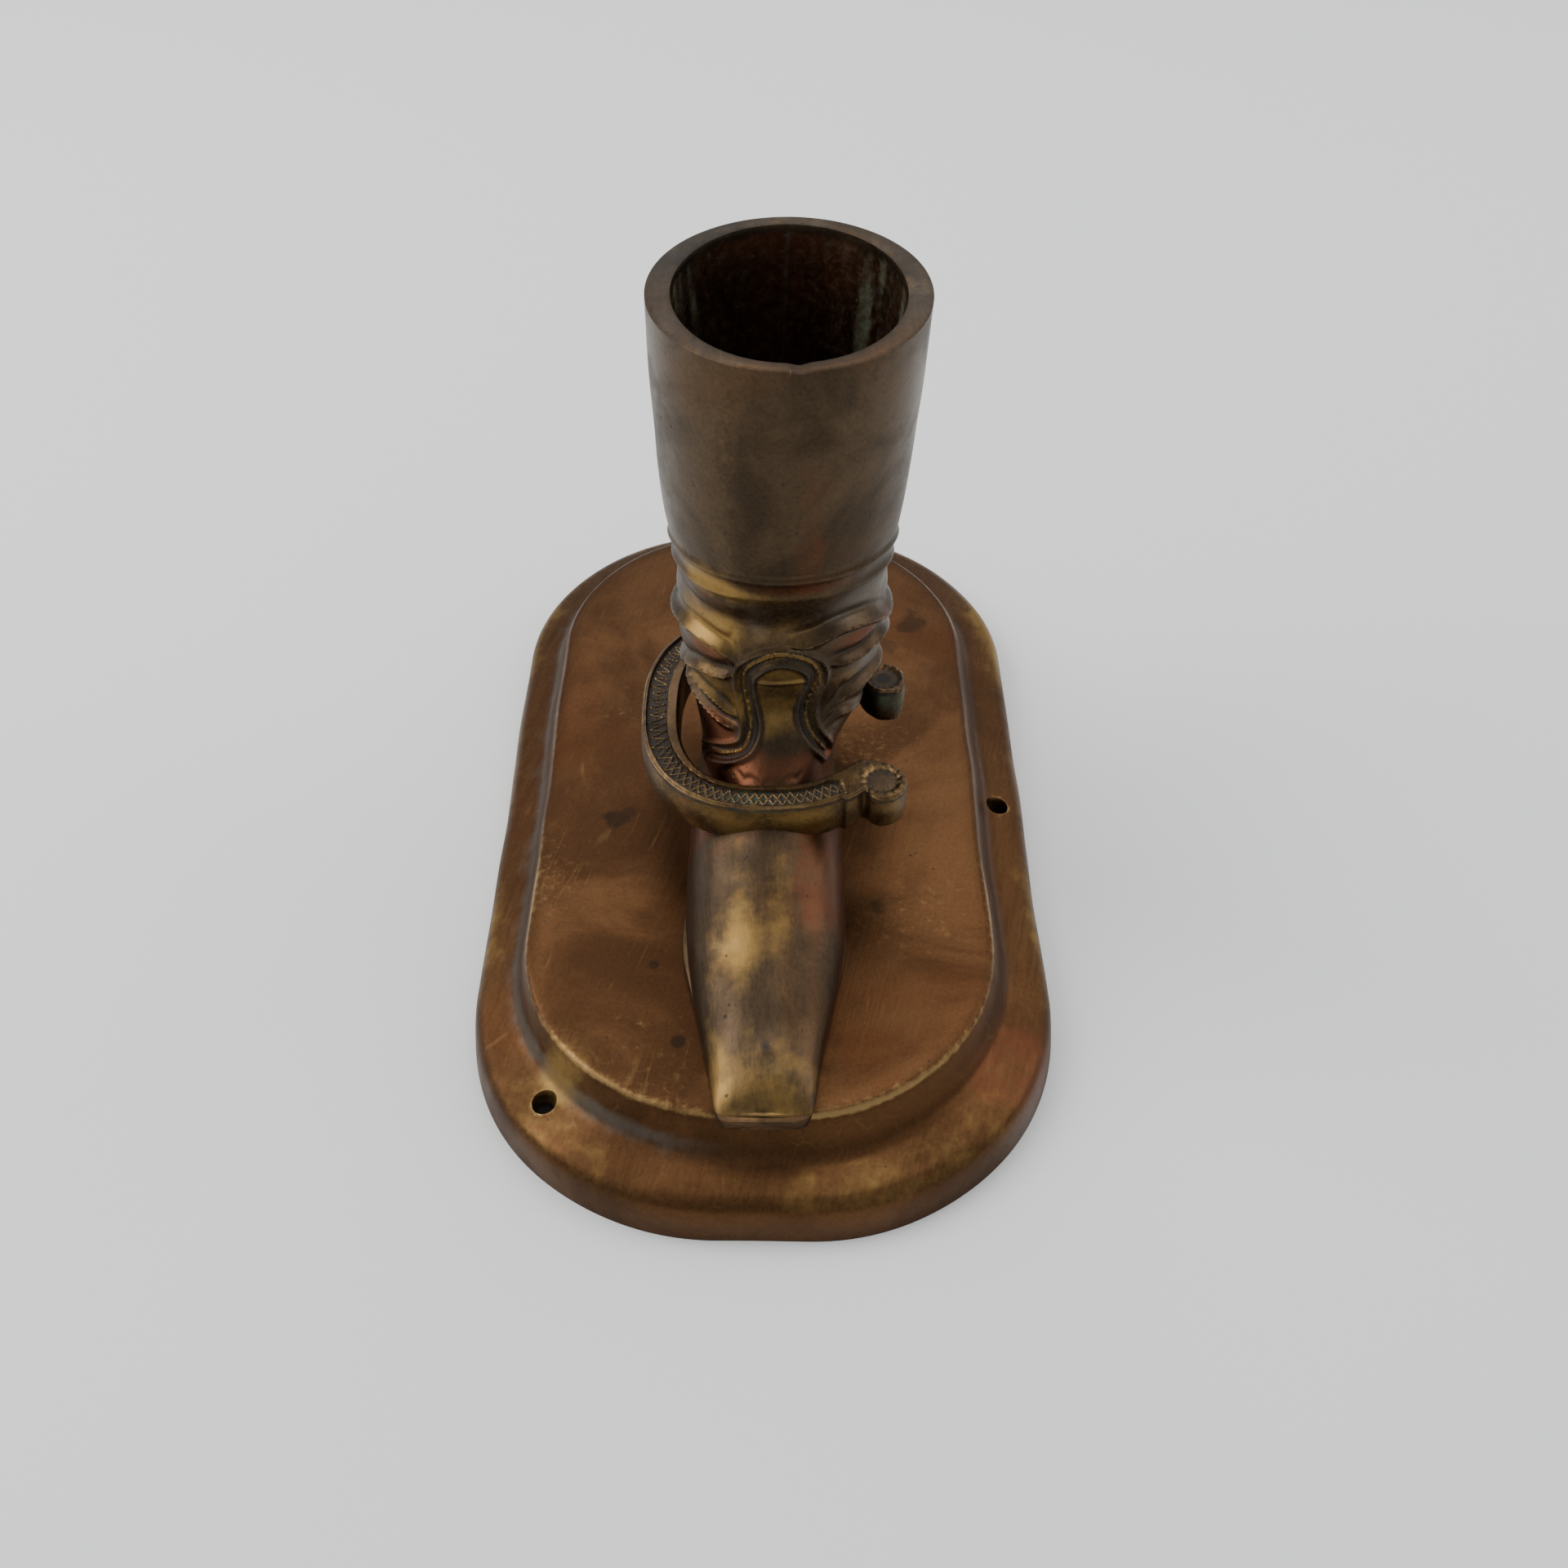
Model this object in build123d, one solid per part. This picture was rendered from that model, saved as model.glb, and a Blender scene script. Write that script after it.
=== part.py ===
# Brass riding-boot holder on a stepped screw-down base, with a horseshoe round the ankle.
# Frame: origin at the centre of the base's rim on the surface it stands on, +Z up,
# +Y towards the back of the base, the boot's toe points to -Y. Millimetres.
import math
import os

from build123d import *

# Base casting: outer rim and raised plateau
BASE_HALF_WIDTH = 50.0
BASE_HALF_LENGTH = 86.5
BASE_CORNER_R = 43.0
RIM_HEIGHT = 7.4
RIM_DRAFT_DEG = 9.0
RIM_EDGE_R = 2.2
FLANGE_RISE = 2.0
STEP_WIDTH = 11.2
STEP_WIDTH_AT_ENDS = 13.6
PLATEAU_HEIGHT = 16.0
PLATEAU_CORNER_R = 35.0
PLATEAU_DRAFT_DEG = 14.0
PLATEAU_EDGE_R = 1.8
COVE_R = 4.0
BASE_WALL = 3.0

# Screw holes through the flange
SCREW_HOLE_R = 1.8
FRONT_SCREW = (-35.2, -66.6)
SIDE_SCREW = (44.1, -1.5)

# Boot shaft, as horizontal sections: height above the plateau, centre x, centre y, half width, half depth
BOOT_HEIGHT = 96.0
CUFF_BOTTOM = 55.5
CUFF_SECTIONS = (
    (CUFF_BOTTOM, 3.1, 2.0, 18.9, 19.4),
    (CUFF_BOTTOM + 6.0, 3.0, 2.3, 19.5, 20.2),
    (76.0, 3.3, 3.1, 20.5, 21.5),
    (BOOT_HEIGHT, 3.7, 4.0, 21.2, 22.5),
)
SHAFT_SECTIONS = (
    (3.0, 0.2, 0.6, 9.6, 11.0),
    (10.0, 0.3, 0.8, 11.0, 12.8),
    (17.0, 1.4, 0.7, 12.2, 13.4),
    (24.0, 2.5, 0.3, 14.8, 14.0),
    (32.0, 2.9, 0.4, 16.6, 15.6),
    (40.0, 2.9, 0.9, 17.5, 17.0),
    (49.0, 2.9, 1.6, 17.7, 18.0),
    (CUFF_BOTTOM + 0.5, 3.1, 2.0, 18.2, 18.8),
)
# The open socket inside the shaft: height above the plateau, centre x, centre y, half width, half depth
SOCKET_SECTIONS = (
    (30.0, 2.8, 0.2, 9.5, 9.5),
    (44.0, 2.9, 1.3, 12.6, 13.2),
    (69.0, 3.1, 2.6, 15.4, 17.4),
    (BOOT_HEIGHT, 3.7, 4.0, 17.2, 19.7),
)

# Foot, as upright sections across it: y, half width at the sole, height of its top above the plateau
FOOT_SECTIONS = (
    (8.5, 8.0, 14.0),
    (2.0, 10.4, 20.0),
    (-8.0, 11.2, 26.0),
    (-16.0, 11.7, 25.5),
    (-25.0, 12.5, 21.0),
    (-34.0, 13.4, 16.6),
    (-46.0, 13.3, 12.8),
    (-58.0, 10.6, 9.4),
    (-68.0, 8.5, 6.7),
    (-75.6, 7.3, 4.0),
)
BOOT_FOOT_X = 0.1

# Sole and heel
SOLE_THICKNESS = 2.2
SOLE_TOE_Y = -76.8
SOLE_TOE_HALF = 6.6
SOLE_TOE_LIFT = 1.2
# Half widths of the sole and where they lie, from the toe back to the heel
SOLE_OUTLINE = (
    (7.4, -74.6),
    (8.6, -68.0),
    (11.0, -56.5),
    (13.7, -44.0),
    (13.5, -35.0),
    (10.4, -20.0),
    (9.4, -8.0),
    (10.4, 3.0),
)
HEEL_BACK_Y = 13.0
HEEL_BREAST_Y = -9.0
HEEL_HEIGHT = 6.0
BALL_FLAT_Y = (-62.0, -34.0)

# Horseshoe lying flat round the ankle, open towards +X; its upper face is this high above the plateau
SHOE_HEIGHT = 22.0
SHOE_THICKNESS = 8.2
SHOE_CENTRE = (0.6, -4.6)
SHOE_HALF_X = 21.9
SHOE_HALF_Y = 24.9
SHOE_WEB_TOE = 6.5
SHOE_WEB_BRANCH = 5.6
SHOE_OUTER_POWER = 2.4
SHOE_INNER_POWER = 2.7
SHOE_GAP_Y = (-18.6, -1.4)
SHOE_FRONT_TIP = (19.4, -22.8)
SHOE_REAR_TIP = (21.0, 2.8)
SHOE_TIP_R = 4.2
SHOE_NOTCH_R = 2.3
FULLER_DEPTH = 0.8
FULLER_WIDTH = 3.0
FULLER_INSET = 1.0
FULLER_REACH_X = 13.0

# Fasteners
STUD_CLEARANCE = 0.2
STUD_R = 2.5
STUD_Y = 1.5
STUD_GRIP = 9.0
STUD_TAIL = 1.5
NUT_FLATS = 8.0
NUT_HEIGHT = 3.6
WASHER_R = 5.5
WASHER_THICKNESS = 1.0
TOE_RIVET_R = 1.1
TOE_RIVET_X = -0.6
TOE_RIVET_Y = -66.0
TOE_RIVET_HEIGHT = 7.1
RIVET_HEAD_R = 2.2
RIVET_HEAD_HEIGHT = 1.2
RIVET_WASHER_R = 3.2
RIVET_WASHER_THICKNESS = 0.8
PIN_R = 1.0
PIN_GRIP = 4.5
FRONT_PIN_X = 2.0
REAR_PIN_X = 2.5


def rounded_outline(half_width, half_length, corner_r, height):
    return Plane.XY.offset(height) * RectangleRounded(2 * half_width, 2 * half_length, corner_r)


def stepped_block(inset, drop):
    """Rim, sloping flange and plateau in one, drawn in by inset and lowered by drop."""
    rim_top = RIM_HEIGHT - drop
    half_w = BASE_HALF_WIDTH - inset
    half_l = BASE_HALF_LENGTH - inset
    corner = BASE_CORNER_R - inset
    rim_in = rim_top * math.tan(math.radians(RIM_DRAFT_DEG))
    rim_edge = rounded_outline(half_w - rim_in, half_l - rim_in, corner - rim_in, rim_top)
    rim = loft([rounded_outline(half_w, half_l, corner, 0), rim_edge])

    lean = (PLATEAU_HEIGHT - RIM_HEIGHT) * math.tan(math.radians(PLATEAU_DRAFT_DEG))
    top_w = BASE_HALF_WIDTH - STEP_WIDTH - inset
    top_l = BASE_HALF_LENGTH - STEP_WIDTH_AT_ENDS - inset
    top_r = PLATEAU_CORNER_R - inset
    plateau = loft([rounded_outline(top_w + lean, top_l + lean, top_r + lean, rim_top),
                    rounded_outline(top_w, top_l, top_r, PLATEAU_HEIGHT - drop)])
    flange = loft([rim_edge, rounded_outline(top_w, top_l, top_r, rim_top + FLANGE_RISE)])
    return rim + flange + plateau


def edges_between(shape, low, high):
    return [edge for edge in shape.edges()
            if edge.bounding_box().min.Z > low and edge.bounding_box().max.Z < high]


def vertical_rod(x, y, low, high, radius):
    return Pos(x, y, (low + high) / 2) * Cylinder(radius, high - low)


def base_plate():
    """Hollow stepped casting with two screw holes and the two holes for the boot's fasteners."""
    outside = stepped_block(0, 0)
    cove_edges = edges_between(outside, RIM_HEIGHT + EDGE_BAND, PLATEAU_HEIGHT - EDGE_BAND)
    outside = fillet(cove_edges, COVE_R)
    plateau_edges = edges_between(outside, PLATEAU_HEIGHT - EDGE_BAND, PLATEAU_HEIGHT + EDGE_BAND)
    outside = fillet(plateau_edges, PLATEAU_EDGE_R)
    outside = fillet(edges_between(outside, RIM_HEIGHT - EDGE_BAND, RIM_HEIGHT + EDGE_BAND), RIM_EDGE_R)
    plate = outside - stepped_block(BASE_WALL, BASE_WALL)
    for x, y in (FRONT_SCREW, SIDE_SCREW):
        plate -= vertical_rod(x, y, -BEYOND, PLATEAU_HEIGHT, SCREW_HOLE_R)
    plate -= vertical_rod(BOOT_FOOT_X, STUD_Y, 0, PLATEAU_HEIGHT + BEYOND, STUD_R + STUD_CLEARANCE)
    plate -= vertical_rod(TOE_RIVET_X, TOE_RIVET_Y, 0, PLATEAU_HEIGHT + BEYOND, TOE_RIVET_R)
    return plate


def oval(height, centre_x, centre_y, half_width, half_depth):
    """Closed horizontal oval, always started from the same side so that lofts don't twist."""
    points = []
    for step in range(OVAL_POINTS):
        angle = 2 * math.pi * step / OVAL_POINTS
        x = centre_x + half_width * math.cos(angle)
        y = centre_y + half_depth * math.sin(angle)
        points.append((x, y, PLATEAU_HEIGHT + height))
    return make_face(Spline(*points, periodic=True))


def foot_section(y, half_width, height):
    """Closed upright oval across the foot; its lower half is cut away by the sole later."""
    rise = height - SOLE_THICKNESS
    points = []
    for step in range(OVAL_POINTS):
        angle = 2 * math.pi * step / OVAL_POINTS
        x = BOOT_FOOT_X + half_width * math.cos(angle)
        points.append((x, y, PLATEAU_HEIGHT + SOLE_THICKNESS + rise * math.sin(angle)))
    return make_face(Spline(*points, periodic=True))


def above_sole(lift):
    """Everything above the sole's underside raised by lift: flat ball, arched waist, heel seat."""
    flat = PLATEAU_HEIGHT + lift
    toe_y = SOLE_TOE_Y - BEYOND
    back_y = HEEL_BACK_Y + 2 * BEYOND
    corners = [
        (toe_y, flat + SOLE_TOE_LIFT),
        (BALL_FLAT_Y[0], flat),
        (BALL_FLAT_Y[1], flat),
        (HEEL_BREAST_Y, flat + HEEL_HEIGHT),
        (back_y, flat + HEEL_HEIGHT),
        (back_y, BOOT_TOP + BEYOND),
        (toe_y, BOOT_TOP + BEYOND),
    ]
    side = Plane.YZ * make_face(Polyline(*corners, close=True))
    return extrude(side, BASE_HALF_WIDTH, both=True)


def sole_plan():
    """Outline of the sole seen from above: square toe, wide ball, narrow waist, round heel."""
    right = [(BOOT_FOOT_X + x, y) for x, y in SOLE_OUTLINE]
    left = [(BOOT_FOOT_X - x, y) for x, y in reversed(SOLE_OUTLINE)]
    toe_right = (BOOT_FOOT_X + SOLE_TOE_HALF, SOLE_TOE_Y)
    toe_left = (BOOT_FOOT_X - SOLE_TOE_HALF, SOLE_TOE_Y)
    side_right = Spline(*right)
    heel = ThreePointArc(right[-1], (BOOT_FOOT_X, HEEL_BACK_Y), left[0])
    side_left = Spline(*left)
    toe = Polyline(left[-1], toe_left, toe_right, right[0])
    return make_face([side_right, heel, side_left, *toe.edges()])


def boot_fasteners():
    """Space that the stud, the rivet and the two pins take inside the boot."""
    stud = vertical_rod(BOOT_FOOT_X, STUD_Y, 0, STUD_TOP, STUD_R)
    rivet = vertical_rod(TOE_RIVET_X, TOE_RIVET_Y, 0, BOOT_TOP, TOE_RIVET_R)
    return stud + rivet + front_pin() + rear_pin()


def boot_body():
    """The whole upper with its open shaft, before it is parted into two castings."""
    shaft = loft([oval(*section) for section in SHAFT_SECTIONS])
    cuff = loft([oval(*section) for section in CUFF_SECTIONS])
    foot = loft([foot_section(*section) for section in FOOT_SECTIONS])
    body = (shaft + foot) & above_sole(SOLE_THICKNESS)
    body = body + cuff - loft([oval(*section) for section in SOCKET_SECTIONS])
    return body - horseshoe_blank() - boot_fasteners()


def parting_side(sign):
    """Half of space on one side of the boot's centre plane, which leans with the shaft."""
    lean = math.degrees(math.atan2(BOOT_TOP_X - BOOT_FOOT_X, BOOT_HEIGHT))
    block = Pos(sign * BOOT_TOP, 0, 0) * Box(2 * BOOT_TOP, 4 * BOOT_TOP, 4 * BOOT_TOP)
    return Pos(BOOT_FOOT_X, 0, PLATEAU_HEIGHT) * (Rot(0, lean, 0) * block)


def boot_sole():
    band = above_sole(0) - above_sole(SOLE_THICKNESS)
    sole = extrude(sole_plan(), BOOT_TOP) & band
    sole -= vertical_rod(BOOT_FOOT_X, STUD_Y, 0, STUD_TOP, STUD_R)
    return sole - vertical_rod(TOE_RIVET_X, TOE_RIVET_Y, 0, BOOT_TOP, TOE_RIVET_R)


def boot_heel():
    heel = extrude(sole_plan(), PLATEAU_HEIGHT + HEEL_HEIGHT)
    keep = Pos(0, (HEEL_BREAST_Y + HEEL_BACK_Y) / 2, PLATEAU_HEIGHT + HEEL_HEIGHT / 2)
    heel &= keep * Box(BASE_HALF_WIDTH, HEEL_BACK_Y - HEEL_BREAST_Y, HEEL_HEIGHT)
    return heel - vertical_rod(BOOT_FOOT_X, STUD_Y, 0, STUD_TOP, STUD_R)


def shoe_outline(half_x, half_y, power, height):
    """Closed superellipse round the horseshoe's centre."""
    points = []
    for step in range(SHOE_POINTS):
        angle = 2 * math.pi * step / SHOE_POINTS
        across = math.copysign(abs(math.cos(angle)) ** (2 / power), math.cos(angle))
        along = math.copysign(abs(math.sin(angle)) ** (2 / power), math.sin(angle))
        points.append((SHOE_CENTRE[0] + half_x * across, SHOE_CENTRE[1] + half_y * along, height))
    return make_face(Spline(*points, periodic=True))


def shoe_ring(outer_inset, inner_outset, bottom, top):
    """Closed ring between the outer outline drawn in and the inner outline let out."""
    inner_x = SHOE_HALF_X - SHOE_WEB_TOE + inner_outset
    inner_y = SHOE_HALF_Y - SHOE_WEB_BRANCH + inner_outset
    outer = shoe_outline(SHOE_HALF_X - outer_inset, SHOE_HALF_Y - outer_inset, SHOE_OUTER_POWER, bottom)
    inner = shoe_outline(inner_x, inner_y, SHOE_INNER_POWER, bottom)
    return extrude(outer, top - bottom) - extrude(inner, top - bottom)


def horseshoe_blank():
    """Open ring with a round tip on each branch and a notch outside each tip."""
    shoe = shoe_ring(0, 0, SHOE_BOTTOM, SHOE_TOP)
    gap = Box(BASE_HALF_WIDTH, SHOE_GAP_Y[1] - SHOE_GAP_Y[0], 2 * SHOE_THICKNESS)
    gap_x = SHOE_CENTRE[0] + BASE_HALF_WIDTH / 2
    shoe -= Pos(gap_x, (SHOE_GAP_Y[0] + SHOE_GAP_Y[1]) / 2, SHOE_TOP) * gap
    for (x, y), side in ((SHOE_FRONT_TIP, -1), (SHOE_REAR_TIP, 1)):
        shoe += vertical_rod(x, y, SHOE_BOTTOM, SHOE_TOP, SHOE_TIP_R)
        notch_y = y + side * (SHOE_TIP_R + SHOE_NOTCH_R / 2)
        shoe -= vertical_rod(x - SHOE_TIP_R / 2, notch_y, SHOE_BOTTOM, SHOE_TOP, SHOE_NOTCH_R)
    return shoe


def horseshoe():
    """The shoe with the fuller sunk in its upper face and the blind holes for its pins."""
    inside_fuller = SHOE_WEB_TOE - FULLER_INSET - FULLER_WIDTH
    fuller = shoe_ring(FULLER_INSET, inside_fuller, SHOE_TOP - FULLER_DEPTH, SHOE_TOP)
    fuller &= Pos(SHOE_CENTRE[0] - SHOE_HALF_X, 0, SHOE_TOP) * Box(
        2 * (SHOE_HALF_X + FULLER_REACH_X), 4 * SHOE_HALF_Y, 2 * SHOE_THICKNESS)
    return horseshoe_blank() - fuller - front_pin() - rear_pin()


def front_pin():
    return vertical_rod(FRONT_PIN_X, FRONT_PIN_Y, SHOE_BOTTOM - PIN_GRIP, SHOE_BOTTOM + PIN_GRIP, PIN_R)


def rear_pin():
    inner_y = SHOE_CENTRE[1] + SHOE_HALF_Y - SHOE_WEB_BRANCH
    height = SHOE_TOP - SHOE_THICKNESS / 2
    return Pos(REAR_PIN_X, inner_y, height) * (Rot(90, 0, 0) * Cylinder(PIN_R, 2 * PIN_GRIP))


def heel_nut():
    blank = extrude(RegularPolygon(NUT_FLATS / 2, 6, major_radius=False), NUT_HEIGHT)
    nut = Pos(BOOT_FOOT_X, STUD_Y, CEILING - WASHER_THICKNESS - NUT_HEIGHT) * blank
    return nut - vertical_rod(BOOT_FOOT_X, STUD_Y, 0, CEILING, STUD_R)


def heel_washer():
    washer = vertical_rod(BOOT_FOOT_X, STUD_Y, CEILING - WASHER_THICKNESS, CEILING, WASHER_R)
    return washer - vertical_rod(BOOT_FOOT_X, STUD_Y, 0, CEILING, STUD_R + STUD_CLEARANCE)


def heel_stud():
    low = CEILING - WASHER_THICKNESS - NUT_HEIGHT - STUD_TAIL
    return vertical_rod(BOOT_FOOT_X, STUD_Y, low, STUD_TOP, STUD_R)


def toe_rivet_washer():
    washer = vertical_rod(TOE_RIVET_X, TOE_RIVET_Y, CEILING - RIVET_WASHER_THICKNESS, CEILING, RIVET_WASHER_R)
    return washer - vertical_rod(TOE_RIVET_X, TOE_RIVET_Y, 0, CEILING, TOE_RIVET_R)


def toe_rivet():
    head_top = CEILING - RIVET_WASHER_THICKNESS
    shank = vertical_rod(TOE_RIVET_X, TOE_RIVET_Y, head_top, TOE_RIVET_TOP, TOE_RIVET_R)
    head_bottom = head_top - RIVET_HEAD_HEIGHT
    return shank + vertical_rod(TOE_RIVET_X, TOE_RIVET_Y, head_bottom, head_top, RIVET_HEAD_R)


# Numbers of points on the smooth outlines, how far the cutting shapes reach past what they cut,
# and how near to a level an edge counts as lying on it
OVAL_POINTS = 16
SHOE_POINTS = 32
BEYOND = 10.0
EDGE_BAND = 0.1

# Sizes that follow from the ones above
BOOT_TOP = PLATEAU_HEIGHT + BOOT_HEIGHT
BOOT_TOP_X = CUFF_SECTIONS[-1][1]
CEILING = PLATEAU_HEIGHT - BASE_WALL
SHOE_TOP = PLATEAU_HEIGHT + SHOE_HEIGHT
SHOE_BOTTOM = SHOE_TOP - SHOE_THICKNESS
TOE_RIVET_TOP = PLATEAU_HEIGHT + TOE_RIVET_HEIGHT
FRONT_PIN_Y = SHOE_CENTRE[1] - SHOE_HALF_Y + SHOE_WEB_BRANCH / 2
STUD_TOP = PLATEAU_HEIGHT + HEEL_HEIGHT + SOLE_THICKNESS + STUD_GRIP


if __name__ == "__main__":
    os.makedirs("parts", exist_ok=True)
    boot = boot_body()
    nodes = {
        "base_plate": base_plate(),
        "boot_left_half": boot & parting_side(-1),
        "boot_right_half": boot & parting_side(1),
        "boot_sole": boot_sole(),
        "boot_heel": boot_heel(),
        "horseshoe": horseshoe(),
        "horseshoe_front_pin": front_pin(),
        "horseshoe_rear_pin": rear_pin(),
        "heel_stud": heel_stud(),
        "heel_washer": heel_washer(),
        "heel_nut": heel_nut(),
        "toe_rivet": toe_rivet(),
        "toe_rivet_washer": toe_rivet_washer(),
    }
    for name, solid in nodes.items():
        export_step(solid, f"parts/{name}.step")
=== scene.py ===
import math

import bmesh
import bpy
import numpy as np
from mathutils import Matrix, Vector


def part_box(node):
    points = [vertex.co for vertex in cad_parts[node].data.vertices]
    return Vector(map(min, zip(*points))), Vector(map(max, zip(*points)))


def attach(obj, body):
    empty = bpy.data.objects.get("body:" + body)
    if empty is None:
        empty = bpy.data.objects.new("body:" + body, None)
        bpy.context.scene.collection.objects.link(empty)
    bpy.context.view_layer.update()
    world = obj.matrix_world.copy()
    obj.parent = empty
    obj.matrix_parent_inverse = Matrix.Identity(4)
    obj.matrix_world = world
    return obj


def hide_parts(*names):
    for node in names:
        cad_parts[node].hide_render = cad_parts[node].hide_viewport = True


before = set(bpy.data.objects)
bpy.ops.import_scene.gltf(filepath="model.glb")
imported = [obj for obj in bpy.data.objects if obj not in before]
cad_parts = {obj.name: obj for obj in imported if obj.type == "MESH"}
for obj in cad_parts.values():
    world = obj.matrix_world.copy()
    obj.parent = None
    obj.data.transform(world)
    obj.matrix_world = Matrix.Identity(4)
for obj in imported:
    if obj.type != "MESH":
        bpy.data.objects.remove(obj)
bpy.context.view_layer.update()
MM = 0.001

# --------------------
# Base plate: a hollow cast-brass stand with an upright rim, a gently rounded flange, a cove and a flat
# plateau. It was cast in sand, filed by hand and drilled for two wood screws; its outline is a little uneven.
# --------------------


def cad_box(node):
    """Low and high corner of a CAD node's box, in millimetres."""
    return (np.array(corner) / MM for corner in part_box(node))


_, base_high = cad_box("base_plate")
PLATEAU_INSET_SIDE = 11.1
PLATEAU_INSET_END = 13.6
PLATEAU_SHIFT_X = -0.7
BASE_CORNER = 43
PLATEAU_CORNER = 35
BASE_WALL = 3
# Across the moulding: share of the way from rim to plateau, and height
MOULDING = ((0, 0), (0.012, 1.2), (0.05, 4.6), (0.10, 6.6), (0.20, 7.75), (0.34, 8.3), (0.50, 8.75),
            (0.62, 9.15), (0.71, 9.9), (0.785, 11.4), (0.845, 13.2), (0.90, 14.75), (0.955, 15.7), (1.03, 16))
SCREW_HOLES = ((-35.2, -66.6), (44.1, -1.5))
SCREW_HOLE_R = 1.8
# Casting pits in the upper surface: x, y, radius, depth
PITS = ((24.5, -77, 1.1, 0.35), (37.8, -60, 1, 0.25), (-26, -12.5, 0.9, 0.3), (-27.8, -11, 0.7, 0.3),
        (31, -38, 0.8, 0.2), (-20, -56, 0.8, 0.2), (27, 34, 1, 0.2), (-27, 24, 0.9, 0.2),
        (4, -80, 0.7, 0.2), (-15, 60, 0.9, 0.2))

# Dark stains in the tarnish of the plateau: x, y, radius, strength
STAINS = ((-26.8, -11.7, 2.4, 0.7), (29.9, 42.9, 3.6, 0.6), (19.5, -31.7, 2.2, 0.5), (-13.6, -59.8, 1.2, 0.7),
          (-18.4, -44.4, 1.1, 0.6), (24, 36, 2.4, 0.4), (-24.5, -9.8, 1.4, 0.5))
STAIN_HEIGHT = 15.9


def smooth_through(points, samples):
    """Catmull-Rom curve through the rows of points, sampled evenly in its parameter."""
    p = np.asarray(points, float)
    p = np.vstack([2 * p[0] - p[1], p, 2 * p[-1] - p[-2]])
    u = np.linspace(0, len(p) - 3, samples)
    i = np.minimum(u.astype(int), len(p) - 4)
    t = (u - i)[:, None]
    a, b, c, d = p[i], p[i + 1], p[i + 2], p[i + 3]
    curve = 2 * b + (c - a) * t + (2 * a - 5 * b + 4 * c - d) * t ** 2 + (3 * b - a - 3 * c + d) * t ** 3
    return curve / 2


def ease(low, high, value):
    """0 below low, 1 above high, an S-curve between; low may be the larger for a falling step."""
    share = np.clip((value - low) / (high - low), 0, 1)
    return share * share * (3 - 2 * share)


def bell(value, width):
    return np.exp(-(value / width) ** 2)


def ripple(x, y, z, scale, seed):
    """Smooth unevenness between -1 and 1: three crossing sine waves at unrelated angles."""
    a = np.sin((x * 0.83 + y * 0.41 + z * 0.67) / scale + seed)
    b = np.sin((x * -0.52 + y * 0.97 - z * 0.38) / scale * 1.31 + seed * 2.3)
    c = np.sin((x * 0.29 - y * 0.64 + z * 1.13) / scale * 0.77 + seed * 3.7)
    return (a * b + b * c + c * a) / 1.5


def grid_faces(rows, columns, start=0, wrap=False):
    """Quads of a grid of rows by columns of vertices; wrap joins the last column to the first."""
    r = np.arange(rows - 1)[:, None]
    c = np.arange(columns if wrap else columns - 1)[None, :]
    after = (c + 1) % columns
    row, next_row = r * columns, (r + 1) * columns
    quads = np.stack([row + c, row + after, next_row + after, next_row + c], -1)
    return quads.reshape(-1, 4) + start


def patch_mesh(name, patches):
    """One closed mesh from grids of points in mm, given as (grid, wrap, flip), merged where they meet."""
    verts, faces, start = [], [], 0
    for grid, wrap, flip in patches:
        rows, columns = grid.shape[:2]
        quads = grid_faces(rows, columns, start, wrap)
        faces.append(quads[:, ::-1] if flip else quads)
        verts.append(grid.reshape(-1, 3))
        start += rows * columns
    verts = np.vstack(verts) * MM
    faces = np.vstack(faces)
    mesh = bpy.data.meshes.new(name)
    mesh.vertices.add(len(verts))
    mesh.vertices.foreach_set("co", verts.ravel())
    mesh.loops.add(faces.size)
    mesh.loops.foreach_set("vertex_index", faces.ravel())
    mesh.polygons.add(len(faces))
    mesh.polygons.foreach_set("loop_start", np.arange(0, faces.size, 4))
    mesh.update(calc_edges=True)
    mesh.validate()
    return merge_doubles(mesh)


def merge_doubles(mesh):
    """Joins vertices that lie on each other, drops faces with no area and turns all faces outwards."""
    distance = 0.02 * MM
    work = bmesh.new()
    work.from_mesh(mesh)
    bmesh.ops.remove_doubles(work, verts=work.verts, dist=distance)
    bmesh.ops.dissolve_degenerate(work, edges=work.edges, dist=distance / 4)
    bmesh.ops.recalc_face_normals(work, faces=work.faces)
    work.to_mesh(mesh)
    work.free()
    mesh.polygons.foreach_set("use_smooth", np.ones(len(mesh.polygons), bool))
    return mesh


def add_piece(name, mesh, material, body, slot, *nodes):
    """Puts a mesh in the scene at the origin, on a body, in place of the CAD nodes it stands for."""
    piece = bpy.data.objects.new(name, mesh)
    bpy.context.scene.collection.objects.link(piece)
    mesh.materials.clear()
    mesh.materials.append(material)
    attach(piece, body)
    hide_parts(*nodes)
    return piece


def vertex_positions(mesh):
    flat = np.empty(len(mesh.vertices) * 3)
    mesh.vertices.foreach_get("co", flat)
    return flat.reshape(-1, 3) / MM


def paint(mesh, **masks):
    """Stores masks between 0 and 1, one number for each vertex, that the finishes read by name."""
    for mask, values in masks.items():
        layer = mesh.attributes.new(mask, "FLOAT", "POINT")
        layer.data.foreach_set("value", np.clip(values, 0, 1).astype(np.float32))


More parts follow.
